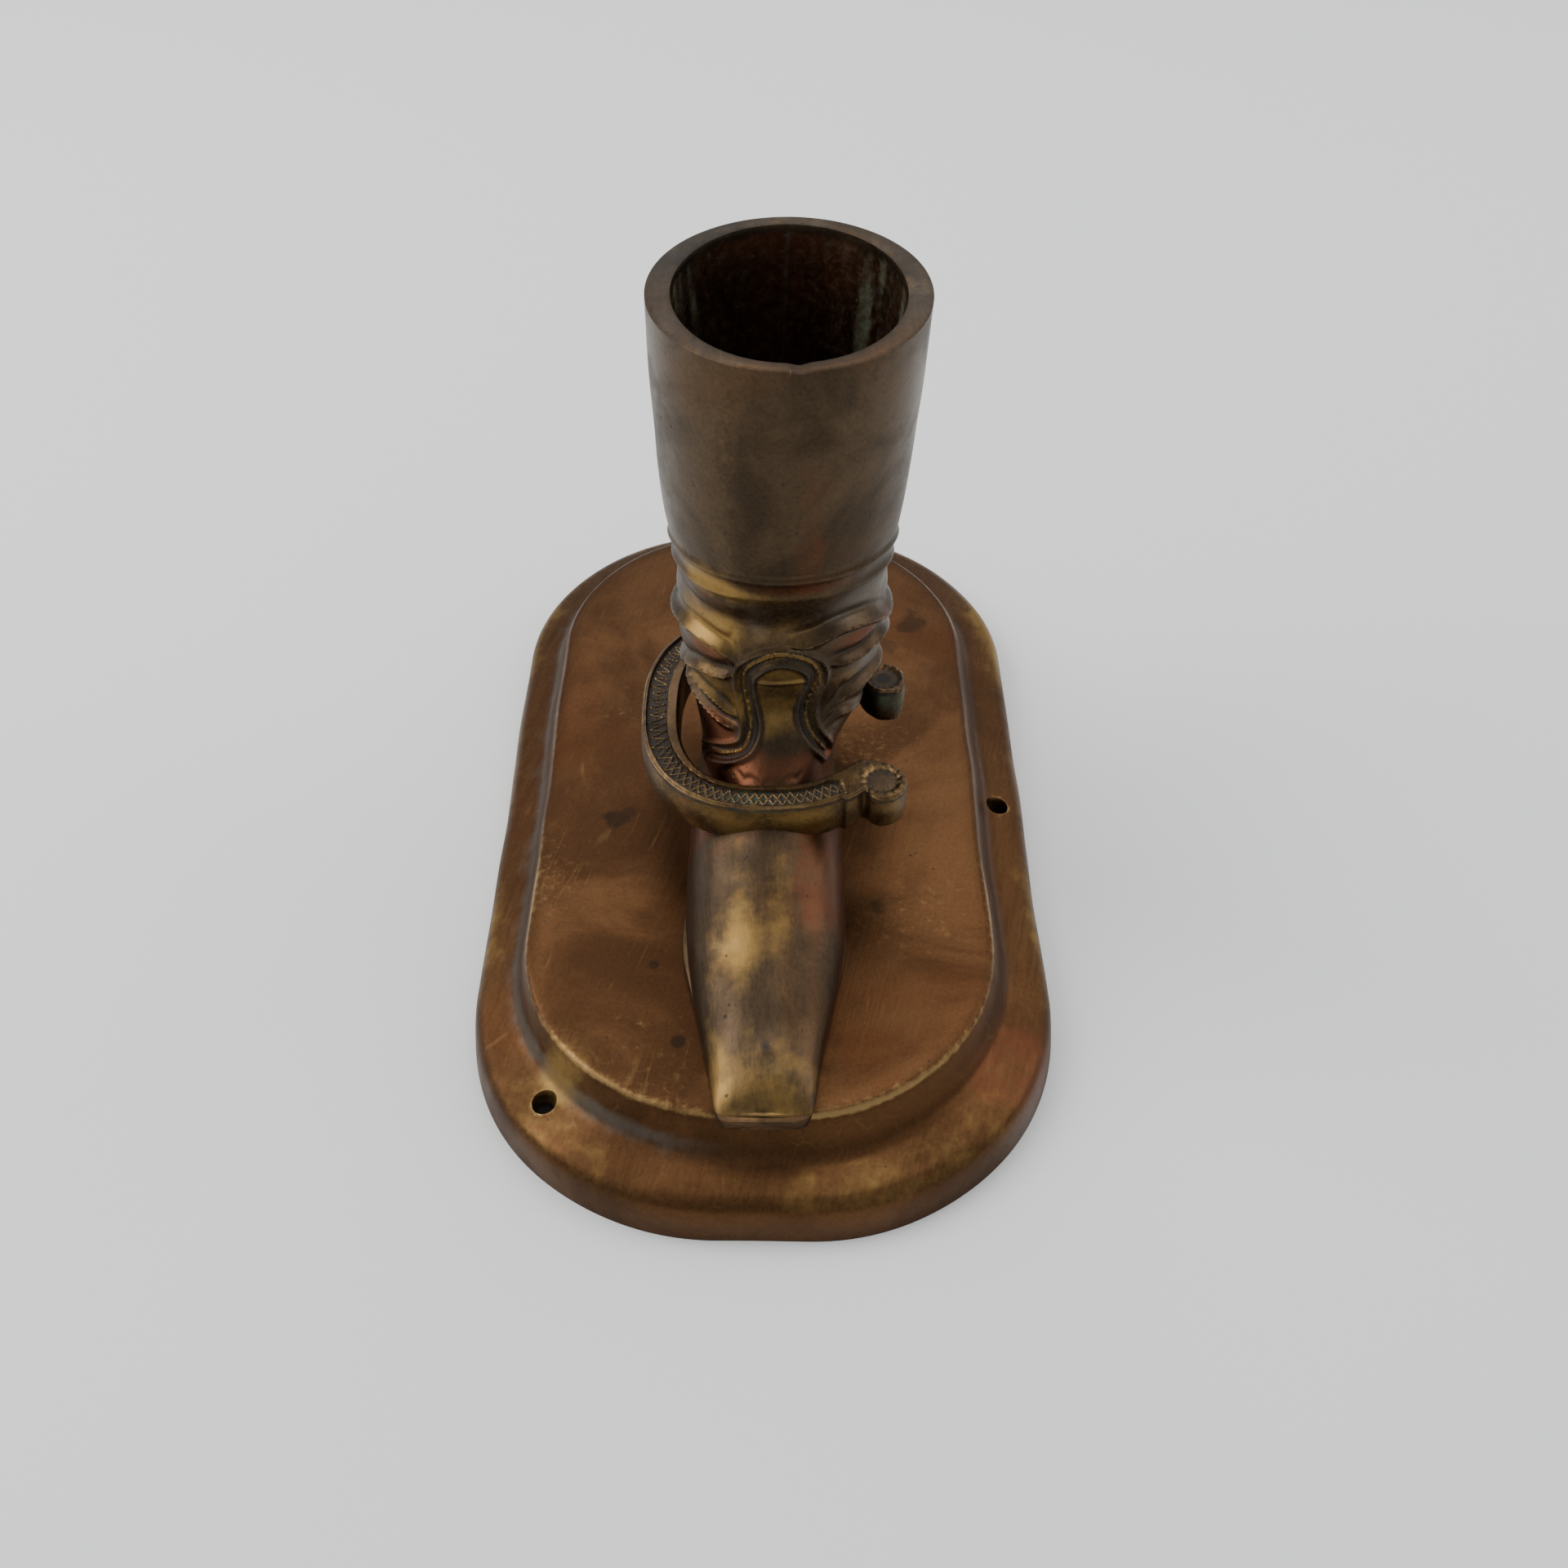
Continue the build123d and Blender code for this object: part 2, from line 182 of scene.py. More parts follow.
def rounded_outline(half_width, half_length, corner, centre_x=0):
    """Rounded rectangle with the same number of points on each straight and each quarter circle."""
    corner = max(corner, 0)
    side, end, arc = 44, 12, 52
    flat_y, flat_x = half_length - corner, half_width - corner
    quarter = np.linspace(0, np.pi / 2, arc, endpoint=False)
    up = np.linspace(-flat_y, flat_y, side, endpoint=False)
    across = np.linspace(flat_x, -flat_x, end, endpoint=False)
    x = np.concatenate([np.full(side, half_width), flat_x + corner * np.cos(quarter), across,
                        -flat_x - corner * np.sin(quarter), np.full(side, -half_width),
                        -flat_x - corner * np.cos(quarter), -across, flat_x + corner * np.sin(quarter)])
    y = np.concatenate([up, flat_y + corner * np.sin(quarter), np.full(end, half_length),
                        flat_y + corner * np.cos(quarter), -up,
                        -flat_y - corner * np.sin(quarter), np.full(end, -half_length),
                        -flat_y - corner * np.cos(quarter)])
    return np.stack([x + centre_x, y], -1)


def base_surface(inset, drop, rows):
    """Moulding carried round the outline: each row lies a share of the way from rim outline to plateau
    outline, at the moulding's height, and the last rows close over the plateau to its middle line."""
    share, height = smooth_through(MOULDING, rows).T
    half_w, half_l = base_high[0] - inset, base_high[1] - inset
    outer = rounded_outline(half_w, half_l, BASE_CORNER - inset)
    top_w, top_l = half_w - PLATEAU_INSET_SIDE, half_l - PLATEAU_INSET_END
    inner = rounded_outline(top_w, top_l, PLATEAU_CORNER - inset, PLATEAU_SHIFT_X)
    side = outer[None] + (inner - outer)[None] * share[:, None, None]
    side = np.dstack([side, np.broadcast_to(height[:, None], side.shape[:2])])
    closing = np.linspace(0.03, 1, 44)[1:]
    first = outer + (inner - outer) * share[-1]
    middle_y = np.clip(first[:, 1], top_w - top_l, top_l - top_w)
    middle = np.stack([np.full(len(first), PLATEAU_SHIFT_X), middle_y], -1)
    top = first[None] + (middle - first)[None] * closing[:, None, None]
    top = np.dstack([top, np.full(top.shape[:2], height[-1])])
    surface = np.vstack([side, top])
    surface[..., 2] = np.maximum(surface[..., 2] - drop, 0)
    return surface


def uneven_base(grid, amount):
    """Hand-finished look: the outline wanders by a few tenths and the faces are not quite true."""
    x, y, z = grid[..., 0].copy(), grid[..., 1].copy(), grid[..., 2].copy()
    radius = np.hypot(x, y) + 1e-6
    angle = np.arctan2(y, x)
    wander = 0.16 * np.sin(5 * angle + 0.6) + 0.10 * np.sin(9 * angle + 2) + 0.05 * np.sin(17 * angle) - 0.31
    grid[..., 0] += amount * wander * x / radius
    grid[..., 1] += amount * wander * y / radius
    lift = z / MOULDING[-1][1]
    grid[..., 2] += amount * lift * (0.10 * ripple(x, y, z, 14, 1) + 0.05 * ripple(x, y, z, 5, 2) - 0.12)
    return grid


outside = uneven_base(base_surface(0, 0, 66), 1)
for pit_x, pit_y, pit_r, pit_depth in PITS:
    away = np.hypot(outside[..., 0] - pit_x, outside[..., 1] - pit_y) / pit_r
    outside[..., 2] -= pit_depth * np.exp(-away ** 2) * (outside[..., 2] > 3)
inside = uneven_base(base_surface(BASE_WALL, BASE_WALL, 40), 0.6)
foot_ring = np.stack([outside[0], inside[0]])
base_patches = [(outside, True, False), (inside, True, True), (foot_ring, True, True)]
base_mesh = patch_mesh("base_plate_cast", base_patches)


def carried_round(name, radius, height, x, y):
    """Mesh of rows of radii at their heights, carried round an upright axis: x + r cos t, y + r sin t."""
    around = np.linspace(0, 2 * np.pi, radius.shape[1], endpoint=False)
    grid = np.dstack([x + radius * np.cos(around), y + radius * np.sin(around),
                      np.broadcast_to(height, radius.shape)])
    return patch_mesh(name, [(grid, True, False)])


def turned(name, profile, x, y, segments=48):
    """Solid of revolution from (radius, height) rows, closed on its axis at both ends."""
    profile = np.array(profile)
    profile = np.vstack([[0, profile[0, 1]], profile, [0, profile[-1, 1]]])
    return carried_round(name, np.repeat(profile[:, :1], segments, axis=1), profile[:, 1:], x, y)


def cut_away(mesh, cutters):
    """The mesh less the space of each cutter mesh."""
    target = bpy.data.objects.new("cut", mesh)
    bpy.context.scene.collection.objects.link(target)
    for cutter_mesh in cutters:
        cutter = bpy.data.objects.new("cutter", cutter_mesh)
        bpy.context.scene.collection.objects.link(cutter)
        cut = target.modifiers.new("cut", "BOOLEAN")
        cut.operation, cut.object, cut.solver = "DIFFERENCE", cutter, "EXACT"
        bpy.context.view_layer.update()
        graph = bpy.context.evaluated_depsgraph_get()
        result = bpy.data.meshes.new_from_object(target.evaluated_get(graph))
        target.modifiers.clear()
        target.data = result
        bpy.data.objects.remove(cutter)
    result = target.data
    result.name = mesh.name
    bpy.data.objects.remove(target)
    return merge_doubles(result)


# Old brass: colours of the metal under its tarnish, as linear red, green, blue
# The bright brass colour is also used for painted highlights, and the near-black dirt colour for painted
# shade
BARE_BRASS_AND_HIGHLIGHT = (0.46, 0.29, 0.115)
COPPER_RED = (0.120, 0.040, 0.020)
SMOKE_GREY = (0.120, 0.100, 0.080)
OLD_GOLD = (0.275, 0.165, 0.050)
DIRT_AND_SHADE_BLACK = (0.018, 0.014, 0.010)
STAIN_BROWN = (0.022, 0.015, 0.010)
VERDIGRIS = (0.060, 0.100, 0.058)


def node_group(name, inputs, outputs):
    """Empty shader node group with its sockets: each is (name, kind, default or None)."""
    group = bpy.data.node_groups.new(name, "ShaderNodeTree")
    kinds = {"value": "NodeSocketFloat", "colour": "NodeSocketColor", "vector": "NodeSocketVector"}
    for direction, sockets in (("INPUT", inputs), ("OUTPUT", outputs)):
        for label, kind, default in sockets:
            socket = group.interface.new_socket(name=label, in_out=direction, socket_type=kinds[kind])
            if default is not None:
                socket.default_value = default
    return group, group.nodes.new("NodeGroupInput").outputs, group.nodes.new("NodeGroupOutput").inputs


def add_node(tree, kind, settings=None, **sockets):
    """Adds a node; settings are its properties, sockets are values or outputs put on inputs by name."""
    node = tree.nodes.new(kind)
    for key, value in (settings or {}).items():
        setattr(node, key, value)
    for key, value in sockets.items():
        place = int(key[1:]) if key[0] == "i" and key[1:].isdigit() else key.replace("_", " ")
        if isinstance(value, bpy.types.NodeSocket):
            tree.links.new(value, node.inputs[place])
        else:
            node.inputs[place].default_value = value
    return node


def noise(tree, vector, scale, detail=4, roughness=0.55, distortion=0):
    return add_node(tree, "ShaderNodeTexNoise", None, Vector=vector, Scale=scale, Detail=detail,
                    Roughness=roughness, Distortion=distortion).outputs["Fac"]


def mapped(tree, vector, **how):
    """The vector turned or drawn out by a mapping node."""
    return add_node(tree, "ShaderNodeMapping", None, Vector=vector, **how).outputs[0]


def stepped(tree, value, low, high, to_low=0, to_high=1):
    """Smooth step of a value from low to high."""
    return add_node(tree, "ShaderNodeMapRange", {"interpolation_type": "SMOOTHSTEP"}, Value=value,
                    From_Min=low, From_Max=high, To_Min=to_low, To_Max=to_high).outputs["Result"]


def maths(tree, operation, first, second=0):
    return add_node(tree, "ShaderNodeMath", {"operation": operation}, i0=first, i1=second).outputs[0]


def times(tree, first, second):
    return maths(tree, "MULTIPLY", first, second)


def mixed(tree, share, first, second, blend="MIX"):
    return add_node(tree, "ShaderNodeMix", {"data_type": "RGBA", "blend_type": blend}, i0=share, i6=first,
                    i7=second).outputs[2]


def tarnish_group():
    """Clouded tarnish: two colours mingled by a broad noise, a third in patches, and fine dark speckle."""
    group, given, out = node_group(
        "tarnish_clouds",
        (("Vector", "vector", None), ("Cloud size", "value", 60), ("Light", "colour", None),
         ("Dark", "colour", None), ("Patch", "colour", None), ("Patch share", "value", 0.3)),
        (("Color", "colour", None), ("Clouds", "value", None)))
    broad = noise(group, given["Vector"], given["Cloud size"], 5, 0.6, 0.6)
    clouds = stepped(group, broad, 0.36, 0.66)
    colour = mixed(group, clouds, given["Dark"], given["Light"])
    patches = stepped(group, noise(group, given["Vector"], times(group, given["Cloud size"], 0.55),
                                   3, 0.5, 1.2), 0.50, 0.68)
    colour = mixed(group, times(group, patches, given["Patch share"]), colour, given["Patch"])
    speckle = stepped(group, noise(group, given["Vector"], 1500, 3, 0.7), 0.30, 0.62, 0.88, 1.06)
    grey = add_node(group, "ShaderNodeCombineColor", None, Red=speckle, Green=speckle,
                    Blue=speckle).outputs[0]
    group.links.new(mixed(group, 1, colour, grey, "MULTIPLY"), out["Color"])
    group.links.new(clouds, out["Clouds"])
    return group


def casting_group():
    """Skin of a sand casting: soft grain, and pits that gather where a broad noise is high."""
    group, given, out = node_group(
        "casting_skin",
        (("Vector", "vector", None), ("Pit spacing", "value", 420), ("Pit share", "value", 0.2)),
        (("Height", "value", None), ("Pits", "value", None)))
    cells = add_node(group, "ShaderNodeTexVoronoi", {"feature": "F1"}, Vector=given["Vector"],
                     Scale=given["Pit spacing"], Randomness=1).outputs["Distance"]
    gather = stepped(group, noise(group, given["Vector"], 120, 2), 0.62, 0.48)
    reach = times(group, maths(group, "SUBTRACT", 1, gather), given["Pit share"])
    pits = stepped(group, maths(group, "SUBTRACT", cells, reach), 0.06, -0.06)
    grain = noise(group, given["Vector"], 900, 5, 0.65)
    group.links.new(maths(group, "SUBTRACT", times(group, grain, 0.35), pits), out["Height"])
    group.links.new(pits, out["Pits"])
    return group


def brushing_group():
    """Marks of rubbing drawn out along the vector's second axis, and sparse crooked hairlines along it."""
    group, given, out = node_group(
        "rubbing_marks", (("Vector", "vector", None), ("Fineness", "value", 1)),
        (("Marks", "value", None), ("Hairlines", "value", None)))
    drawn = mapped(group, given["Vector"], Scale=(1400, 45, 1400))
    fine = noise(group, drawn, given["Fineness"], 4, 0.7, 0.3)
    group.links.new(stepped(group, fine, 0.32, 0.7), out["Marks"])
    crooked = mapped(group, given["Vector"], Scale=(260, 24, 260))
    edges = add_node(group, "ShaderNodeTexVoronoi", {"feature": "DISTANCE_TO_EDGE"}, Vector=crooked,
                     Scale=given["Fineness"], Randomness=1).outputs["Distance"]
    some = stepped(group, noise(group, given["Vector"], 95, 3), 0.52, 0.66)
    group.links.new(times(group, stepped(group, edges, 0.03, 0.008), some), out["Hairlines"])
    return group


TARNISH, CASTING, BRUSHING = tarnish_group(), casting_group(), brushing_group()


def brass_finish(name, light, dark, patch, patch_share=0.4, cloud_size=60, rough=(0.34, 0.52), pit_share=0.16,
                 brush_turn=(0, 0, 0), brushing=0.25, grain=0.35, hairlines=0.3, stains=()):
    """Aged brass: clouded tarnish over bright metal, which shows where the piece is rubbed and where a
    highlight is painted (its wear and highlight mask), hidden by dirt in hollows and by painted shade (its
    dirt and shade mask), with copper-red, grey, golden and green areas where the piece's own masks say, and
    dark stains at given places (x, y, radius, strength)."""
    material = bpy.data.materials.new(name)
    material.use_nodes = True
    tree = material.node_tree
    shader = tree.nodes["Principled BSDF"]
    place = add_node(tree, "ShaderNodeTexCoord").outputs["Object"]
    mask = {key: add_node(tree, "ShaderNodeAttribute", {"attribute_name": key}).outputs["Fac"]
            for key in ("wear", "dirt", "red", "grey", "gold", "green")}
    cloud = add_node(tree, "ShaderNodeGroup", {"node_tree": TARNISH}, Vector=place, Cloud_size=cloud_size,
                     Light=(*light, 1), Dark=(*dark, 1), Patch=(*patch, 1), Patch_share=patch_share)
    skin = add_node(tree, "ShaderNodeGroup", {"node_tree": CASTING}, Vector=place, Pit_share=pit_share)
    turned_place = mapped(tree, place, Rotation=brush_turn)
    rubbed = add_node(tree, "ShaderNodeGroup", {"node_tree": BRUSHING}, Vector=turned_place)
    marks, scratches = rubbed.outputs["Marks"], rubbed.outputs["Hairlines"]
    ragged = noise(tree, place, 700, 4, 0.7)
    drifting = noise(tree, place, 210, 6, 0.62)

    def ragged_mask(value, strength, breaking=0.9, by=ragged):
        """The mask with its border broken up by a noise."""
        broken = maths(tree, "ADD", value, times(tree, maths(tree, "SUBTRACT", by, 0.5), breaking))
        seen = stepped(tree, broken, 0.12, 0.85)
        return times(tree, times(tree, seen, stepped(tree, value, 0.02, 0.15)), strength)

    colour = cloud.outputs["Color"]
    for key, tone, strength in (("red", COPPER_RED, 0.85), ("grey", SMOKE_GREY, 0.85),
                                ("gold", OLD_GOLD, 0.9)):
        colour = mixed(tree, ragged_mask(mask[key], strength, 1.1, drifting), colour, (*tone, 1))
    streaks = times(tree, marks, maths(tree, "ADD", times(tree, mask["gold"], 0.18), brushing))
    streaks = maths(tree, "MAXIMUM", streaks, times(tree, scratches, hairlines))
    colour = mixed(tree, streaks, colour, (*BARE_BRASS_AND_HIGHLIGHT, 1))
    # Bare brass where the piece is worn, and painted highlights where its masks put them
    brightened = ragged_mask(mask["wear"], 0.85)
    colour = mixed(tree, brightened, colour, (*BARE_BRASS_AND_HIGHLIGHT, 1))
    stained = 0
    for x, y, radius, strength in stains:
        away = add_node(tree, "ShaderNodeVectorMath", {"operation": "DISTANCE"}, i0=place,
                        i1=(x * MM, y * MM, STAIN_HEIGHT * MM)).outputs["Value"]
        uneven = maths(tree, "ADD", maths(tree, "DIVIDE", away, radius * MM), times(tree, drifting, 2.4))
        stained = maths(tree, "MAXIMUM", stained, stepped(tree, uneven, 2.25, 1.75, 0, strength))
    if stains:
        colour = mixed(tree, stained, colour, (*STAIN_BROWN, 1))
    # Dirt in hollows and casting pits, and painted shade where the piece's masks put it
    dirty = maths(tree, "MAXIMUM", ragged_mask(mask["dirt"], 0.92), times(tree, skin.outputs["Pits"], 0.7))
    colour = mixed(tree, dirty, colour, (*DIRT_AND_SHADE_BLACK, 1))
    green = ragged_mask(mask["green"], 0.9)
    colour = mixed(tree, green, colour, (*VERDIGRIS, 1))
    tree.links.new(colour, shader.inputs["Base Color"])
    dull = maths(tree, "MAXIMUM", times(tree, dirty, 0.85), green)
    tree.links.new(maths(tree, "SUBTRACT", 1, dull), shader.inputs["Metallic"])
    gloss = stepped(tree, cloud.outputs["Clouds"], 0, 1, rough[1], rough[0])
    gloss = maths(tree, "SUBTRACT", gloss, times(tree, brightened, 0.08))
    gloss = maths(tree, "ADD", gloss, times(tree, marks, 0.06))
    tree.links.new(maths(tree, "ADD", gloss, times(tree, dull, 0.35)), shader.inputs["Roughness"])
    height = maths(tree, "ADD", skin.outputs["Height"], times(tree, marks, 0.18))
    bump = add_node(tree, "ShaderNodeBump", None, Strength=grain, Distance=0.00022, Height=height).outputs[0]
    tree.links.new(bump, shader.inputs["Normal"])
    return material


def curvature_masks(mesh, rounds, wear, dirt):
    """Where the surface is convex it is rubbed, where it is hollow it keeps dirt. Each vertex's bend is the
    mean rise of its neighbours over its tangent plane, over their squared distance, evened out over them."""
    points = vertex_positions(mesh)
    ends = np.empty(len(mesh.edges) * 2, np.int32)
    mesh.edges.foreach_get("vertices", ends)
    first, second = ends.reshape(-1, 2).T
    normals = np.empty(len(points) * 3)
    mesh.vertex_normals.foreach_get("vector", normals)
    normals = normals.reshape(-1, 3)
    run = points[second] - points[first]
    square = np.maximum((run ** 2).sum(1), 0.04)
    count = np.bincount(np.concatenate([first, second]), minlength=len(points)) + 1e-9
    rise = np.bincount(first, -(run * normals[first]).sum(1) / square, len(points))
    rise += np.bincount(second, (run * normals[second]).sum(1) / square, len(points))
    bend = rise / count
    for _ in range(rounds):
        spread = np.bincount(first, bend[second], len(points)) + np.bincount(second, bend[first], len(points))
        bend = (bend + spread / count) / 2
    return ease(*wear, bend), ease(*dirt, -bend)


stud_low, stud_high = cad_box("heel_stud")
rivet_low, rivet_high = cad_box("toe_rivet")
stud_x, stud_y = (stud_low + stud_high)[:2] / 2
stud_r = stud_high[0] - stud_x
rivet_x, rivet_y = (rivet_low + rivet_high)[:2] / 2
RIVET_SHANK_R = 1.1
STUD_HOLE_R = 2.7
cutters = []
for x, y in SCREW_HOLES:
    # The mouth of each hole is worn a little wider
    cutters.append(turned("screw_hole", ((SCREW_HOLE_R, -2), (SCREW_HOLE_R, 8.1), (SCREW_HOLE_R + 0.5, 9.2),
                                         (SCREW_HOLE_R + 0.5, 12)), x, y))
for x, y, radius in ((stud_x, stud_y, STUD_HOLE_R), (rivet_x, rivet_y, RIVET_SHANK_R)):
    cutters.append(turned("fastener_hole", ((radius, 8), (radius, 20)), x, y))
base_mesh = cut_away(base_mesh, cutters)


SHARP_DEGREES = 38


def finish_piece(name, mesh, material, slot, *nodes, masks=None, rounds=2, wear=(0.10, 0.55),
                 dirt=(0.10, 0.5)):
    """Marks sharp edges, paints wear and dirt from the bends with the piece's own masks over them, which on
    some pieces carry painted highlights and painted shade, and adds the piece. Where the mask open is 0,
    bends leave no wear or dirt, as along a joint line that was filed flush."""
    mesh.set_sharp_from_angle(angle=math.radians(SHARP_DEGREES))
    brightened, dirty = curvature_masks(mesh, rounds, wear, dirt)
    masks = dict(masks or {})
    open_share = masks.pop("open", 1)
    brightened = np.maximum(brightened * open_share, masks.pop("wear", 0))
    dirty = np.maximum(dirty * open_share, masks.pop("dirt", 0))
    paint(mesh, wear=brightened, dirt=dirty, **masks)
    return add_piece(name, mesh, material, "root", slot, *nodes)


base_points = vertex_positions(base_mesh)
base_x, base_y, base_z = base_points.T
at_holes = np.zeros(len(base_points))
for x, y in SCREW_HOLES:
    away = np.hypot(base_x - x, base_y - y)
    at_holes = np.maximum(at_holes, ease(SCREW_HOLE_R + 0.9, SCREW_HOLE_R + 0.2, away) * (base_z > 5))
in_holes = at_holes * ease(8, 7, base_z)
at_holes *= 0.4
# Painted shade on the underside of the base, where it rests on the floor
painted_shade_underneath = ease(0.4, 0, base_z)
base_drift = ripple(base_x, base_y, base_z, 11, 2.4)
ahead_share = ease(10, -70, base_y)
# Painted highlight: a bright bare-brass line along the plateau's rounded edge, strongest in front
plateau_edge_painted_highlight = bell(base_z - 15.35, 0.42) * (base_z > 13) * (0.12 + 0.40 * ahead_share + 0.25 * base_drift)
rim_gold = bell(base_z - 7.2, 1.1) * (0.30 + 0.30 * base_drift) * (1 - 0.5 * ahead_share)
front_gold = 0.20 * ahead_share * bell(base_z - 8.2, 0.9) * (0.7 + 0.5 * base_drift)
beside_front_hole = bell(np.hypot(base_x + 33, base_y + 63.5) / 5.5, 1)
# Painted reflection: a grey sheen along the cove, on the left side
cove_painted_sheen = bell(base_z - 10.6, 1.5) * ease(10, -25, base_x) * 0.75
purple = ease(0.15, 0.7, ripple(base_x, base_y, base_z, 6.5, 5.1)) * ease(24, 34, base_x)
purple *= 0.5 * ease(12.5, 9.5, base_z) * ease(-25, -45, base_y)
base_brass = brass_finish("base_brass_tarnished", light=(0.094, 0.043, 0.018), dark=(0.062, 0.028, 0.0125),
                          patch=(0.082, 0.031, 0.0125), patch_share=0.6, cloud_size=38, rough=(0.36, 0.50),
                          brush_turn=(0, 0, 0.25), brushing=0.025, pit_share=0.08, grain=0.18, hairlines=0.09,
                          stains=STAINS)
base_gold = np.maximum(np.maximum(rim_gold, front_gold), 0.6 * beside_front_hole)
# Painted shade under the base, and darker inside the screw holes
base_dirt = np.maximum(painted_shade_underneath * 0.8, 0.9 * in_holes)
finish_piece("base_plate_cast", base_mesh, base_brass, "base_brass", "base_plate",
             masks={"wear": np.maximum(at_holes, plateau_edge_painted_highlight), "dirt": base_dirt, "grey": cove_painted_sheen,
                    "gold": base_gold, "red": purple}, wear=(0.16, 0.7), dirt=(0.26, 0.8), rounds=3)

# --------------------
# Boot upper: two thin hollow castings, left and right, that meet flush on a centre plane which leans a little
# with the shaft. The shaft is open at the top, slouched in folds over the ankle, with a rolled tongue edge.
# --------------------
LEAN_FOOT_X, LEAN_TOP_X, LEAN_FOOT_Z, LEAN_TOP_Z = 0.1, 3.7, 16, 112
# Slices through the boot, fanned from the rim round the ankle to the toe:
# front y, front z, back y, back z, half width, shift to the right, share of flat-bottomed foot shape
SLICES = (
    (-18.5, 112, 26.4, 112, 21.2, 0, 0), (-18.4, 100, 25.4, 100, 20.9, 0.2, 0),
    (-18.3, 92, 24.3, 92, 20.4, 0.35, 0), (-18.1, 84, 23.5, 84, 20, 0.45, 0),
    (-17.9, 77.5, 22.5, 77.5, 19.4, 0.6, 0), (-17.4, 73, 21.2, 73, 18.7, 0.8, 0),
    (-16.8, 69, 20.2, 69, 18, 0.95, 0), (-16.4, 65, 19.6, 65, 17.7, 1, 0),
    (-16.3, 60.5, 18.8, 60.5, 17.6, 1.15, 0), (-16.1, 56, 17.9, 56, 17.5, 1.3, 0),
    (-15.8, 52, 17, 52, 17.2, 1.4, 0), (-15.4, 48, 16, 48, 16.6, 1.6, 0),
    (-15.5, 45.5, 15.2, 44.5, 16, 1.6, 0), (-16.3, 43.2, 14.6, 40.5, 15.2, 1.5, 0),
    (-18, 41.3, 14.2, 36, 14.1, 1.1, 0), (-20.4, 39.6, 13.9, 31.5, 13, 0.6, 0.1),
    (-23, 38.1, 13.3, 27.5, 12.2, 0.2, 0.2), (-26, 35.6, 12, 24.2, 11.9, 0, 0.35),
    (-29, 33.2, 5, 24.2, 12, 0, 0.6), (-32, 31.9, -3, 24.2, 12.4, 0, 0.8),
    (-35.5, 31, -12, 23.5, 12.9, 0, 0.9), (-39.5, 30.2, -23, 20.8, 13.4, 0, 1),
    (-43, 29.7, -34, 18.2, 13.6, 0, 1), (-47, 28.5, -43, 18.2, 13.2, 0, 1),
    (-52, 27.1, -51, 18.2, 12, 0, 1), (-58, 25.4, -58, 18.2, 10.6, 0, 1),
    (-63, 24, -63, 18.2, 9.5, 0, 1), (-68, 22.9, -68, 18.5, 8.6, 0, 1),
    (-71, 22.1, -71.4, 18.8, 8.1, 0, 1), (-73.6, 20.9, -74.1, 18.9, 7.6, 0, 1),
    (-75.2, 19.6, -75.5, 18.9, 6.9, 0, 1),
)
# Open socket in the shaft: height, centre y, half width, half depth
SOCKET = ((46, 0.2, 9.5, 9.5), (60, 1.3, 12.6, 13.2), (85, 2.6, 15.4, 17.4), (112, 4, 17.2, 19.7))
BOTTOM_EDGE_TURN = 0.72
RIM_EDGE_DROP = 0.28
SLICE_COUNT = 235
SLICE_POINTS = 132
RIM_Z = 112
# Samples of a smooth line that is then spaced evenly
FINE_SAMPLES = 4000


def centre_plane_x(z):
    return LEAN_FOOT_X + (LEAN_TOP_X - LEAN_FOOT_X) * (z - LEAN_FOOT_Z) / (LEAN_TOP_Z - LEAN_FOOT_Z)


def boot_slices():
    """Slices spaced evenly along the front of the boot, three times as close between cuff and instep."""
    fine = smooth_through(SLICES, FINE_SAMPLES)
    step = np.hypot(*np.diff(fine[:, :2], axis=0).T)
    height = fine[1:, 1]
    closeness = 1 + 2.2 * ease(82, 78, height) * ease(36, 39, height)
    along = np.concatenate([[0], np.cumsum(step * closeness)])
    at = np.linspace(0, along[-1], SLICE_COUNT)
    return np.stack([np.interp(at, along, column) for column in fine.T], -1)


def boot_outer(side):
    """Half of the boot's skin: each slice is half an oval from front to back, which turns into an arch over
    a flat bottom towards the toe. Returns points (slice, round, xyz) and the angle round from the front."""
    turn = np.pi * np.linspace(0, 1, SLICE_POINTS) ** 1.3
    edge = BOTTOM_EDGE_TURN * np.pi
    arch = np.clip(turn / edge, 0, 1) * np.pi / 2
    back_oval, out_oval = (1 - np.cos(turn)) / 2, np.sin(turn)
    back_arch = np.where(turn < edge, 1 - np.cos(arch) ** 0.9, 1)
    out_arch = np.where(turn < edge, np.sin(arch) ** 0.94, 1 - (turn - edge) / (np.pi - edge))
    s = boot_slices()[:, :, None]
    flat = s[:, 6]
    back = back_oval * (1 - flat) + back_arch * flat
    out = out_oval * (1 - flat) + out_arch * flat
    y = s[:, 0] + (s[:, 2] - s[:, 0]) * back
    z = s[:, 1] + (s[:, 3] - s[:, 1]) * back
    x = centre_plane_x(z) + (side * s[:, 4] + s[:, 5]) * out
    return np.dstack([x, y, z]), np.broadcast_to(side * np.degrees(turn), x.shape)


FOLD_DEEPER, FOLD_WIDER = 1.65, 1.2
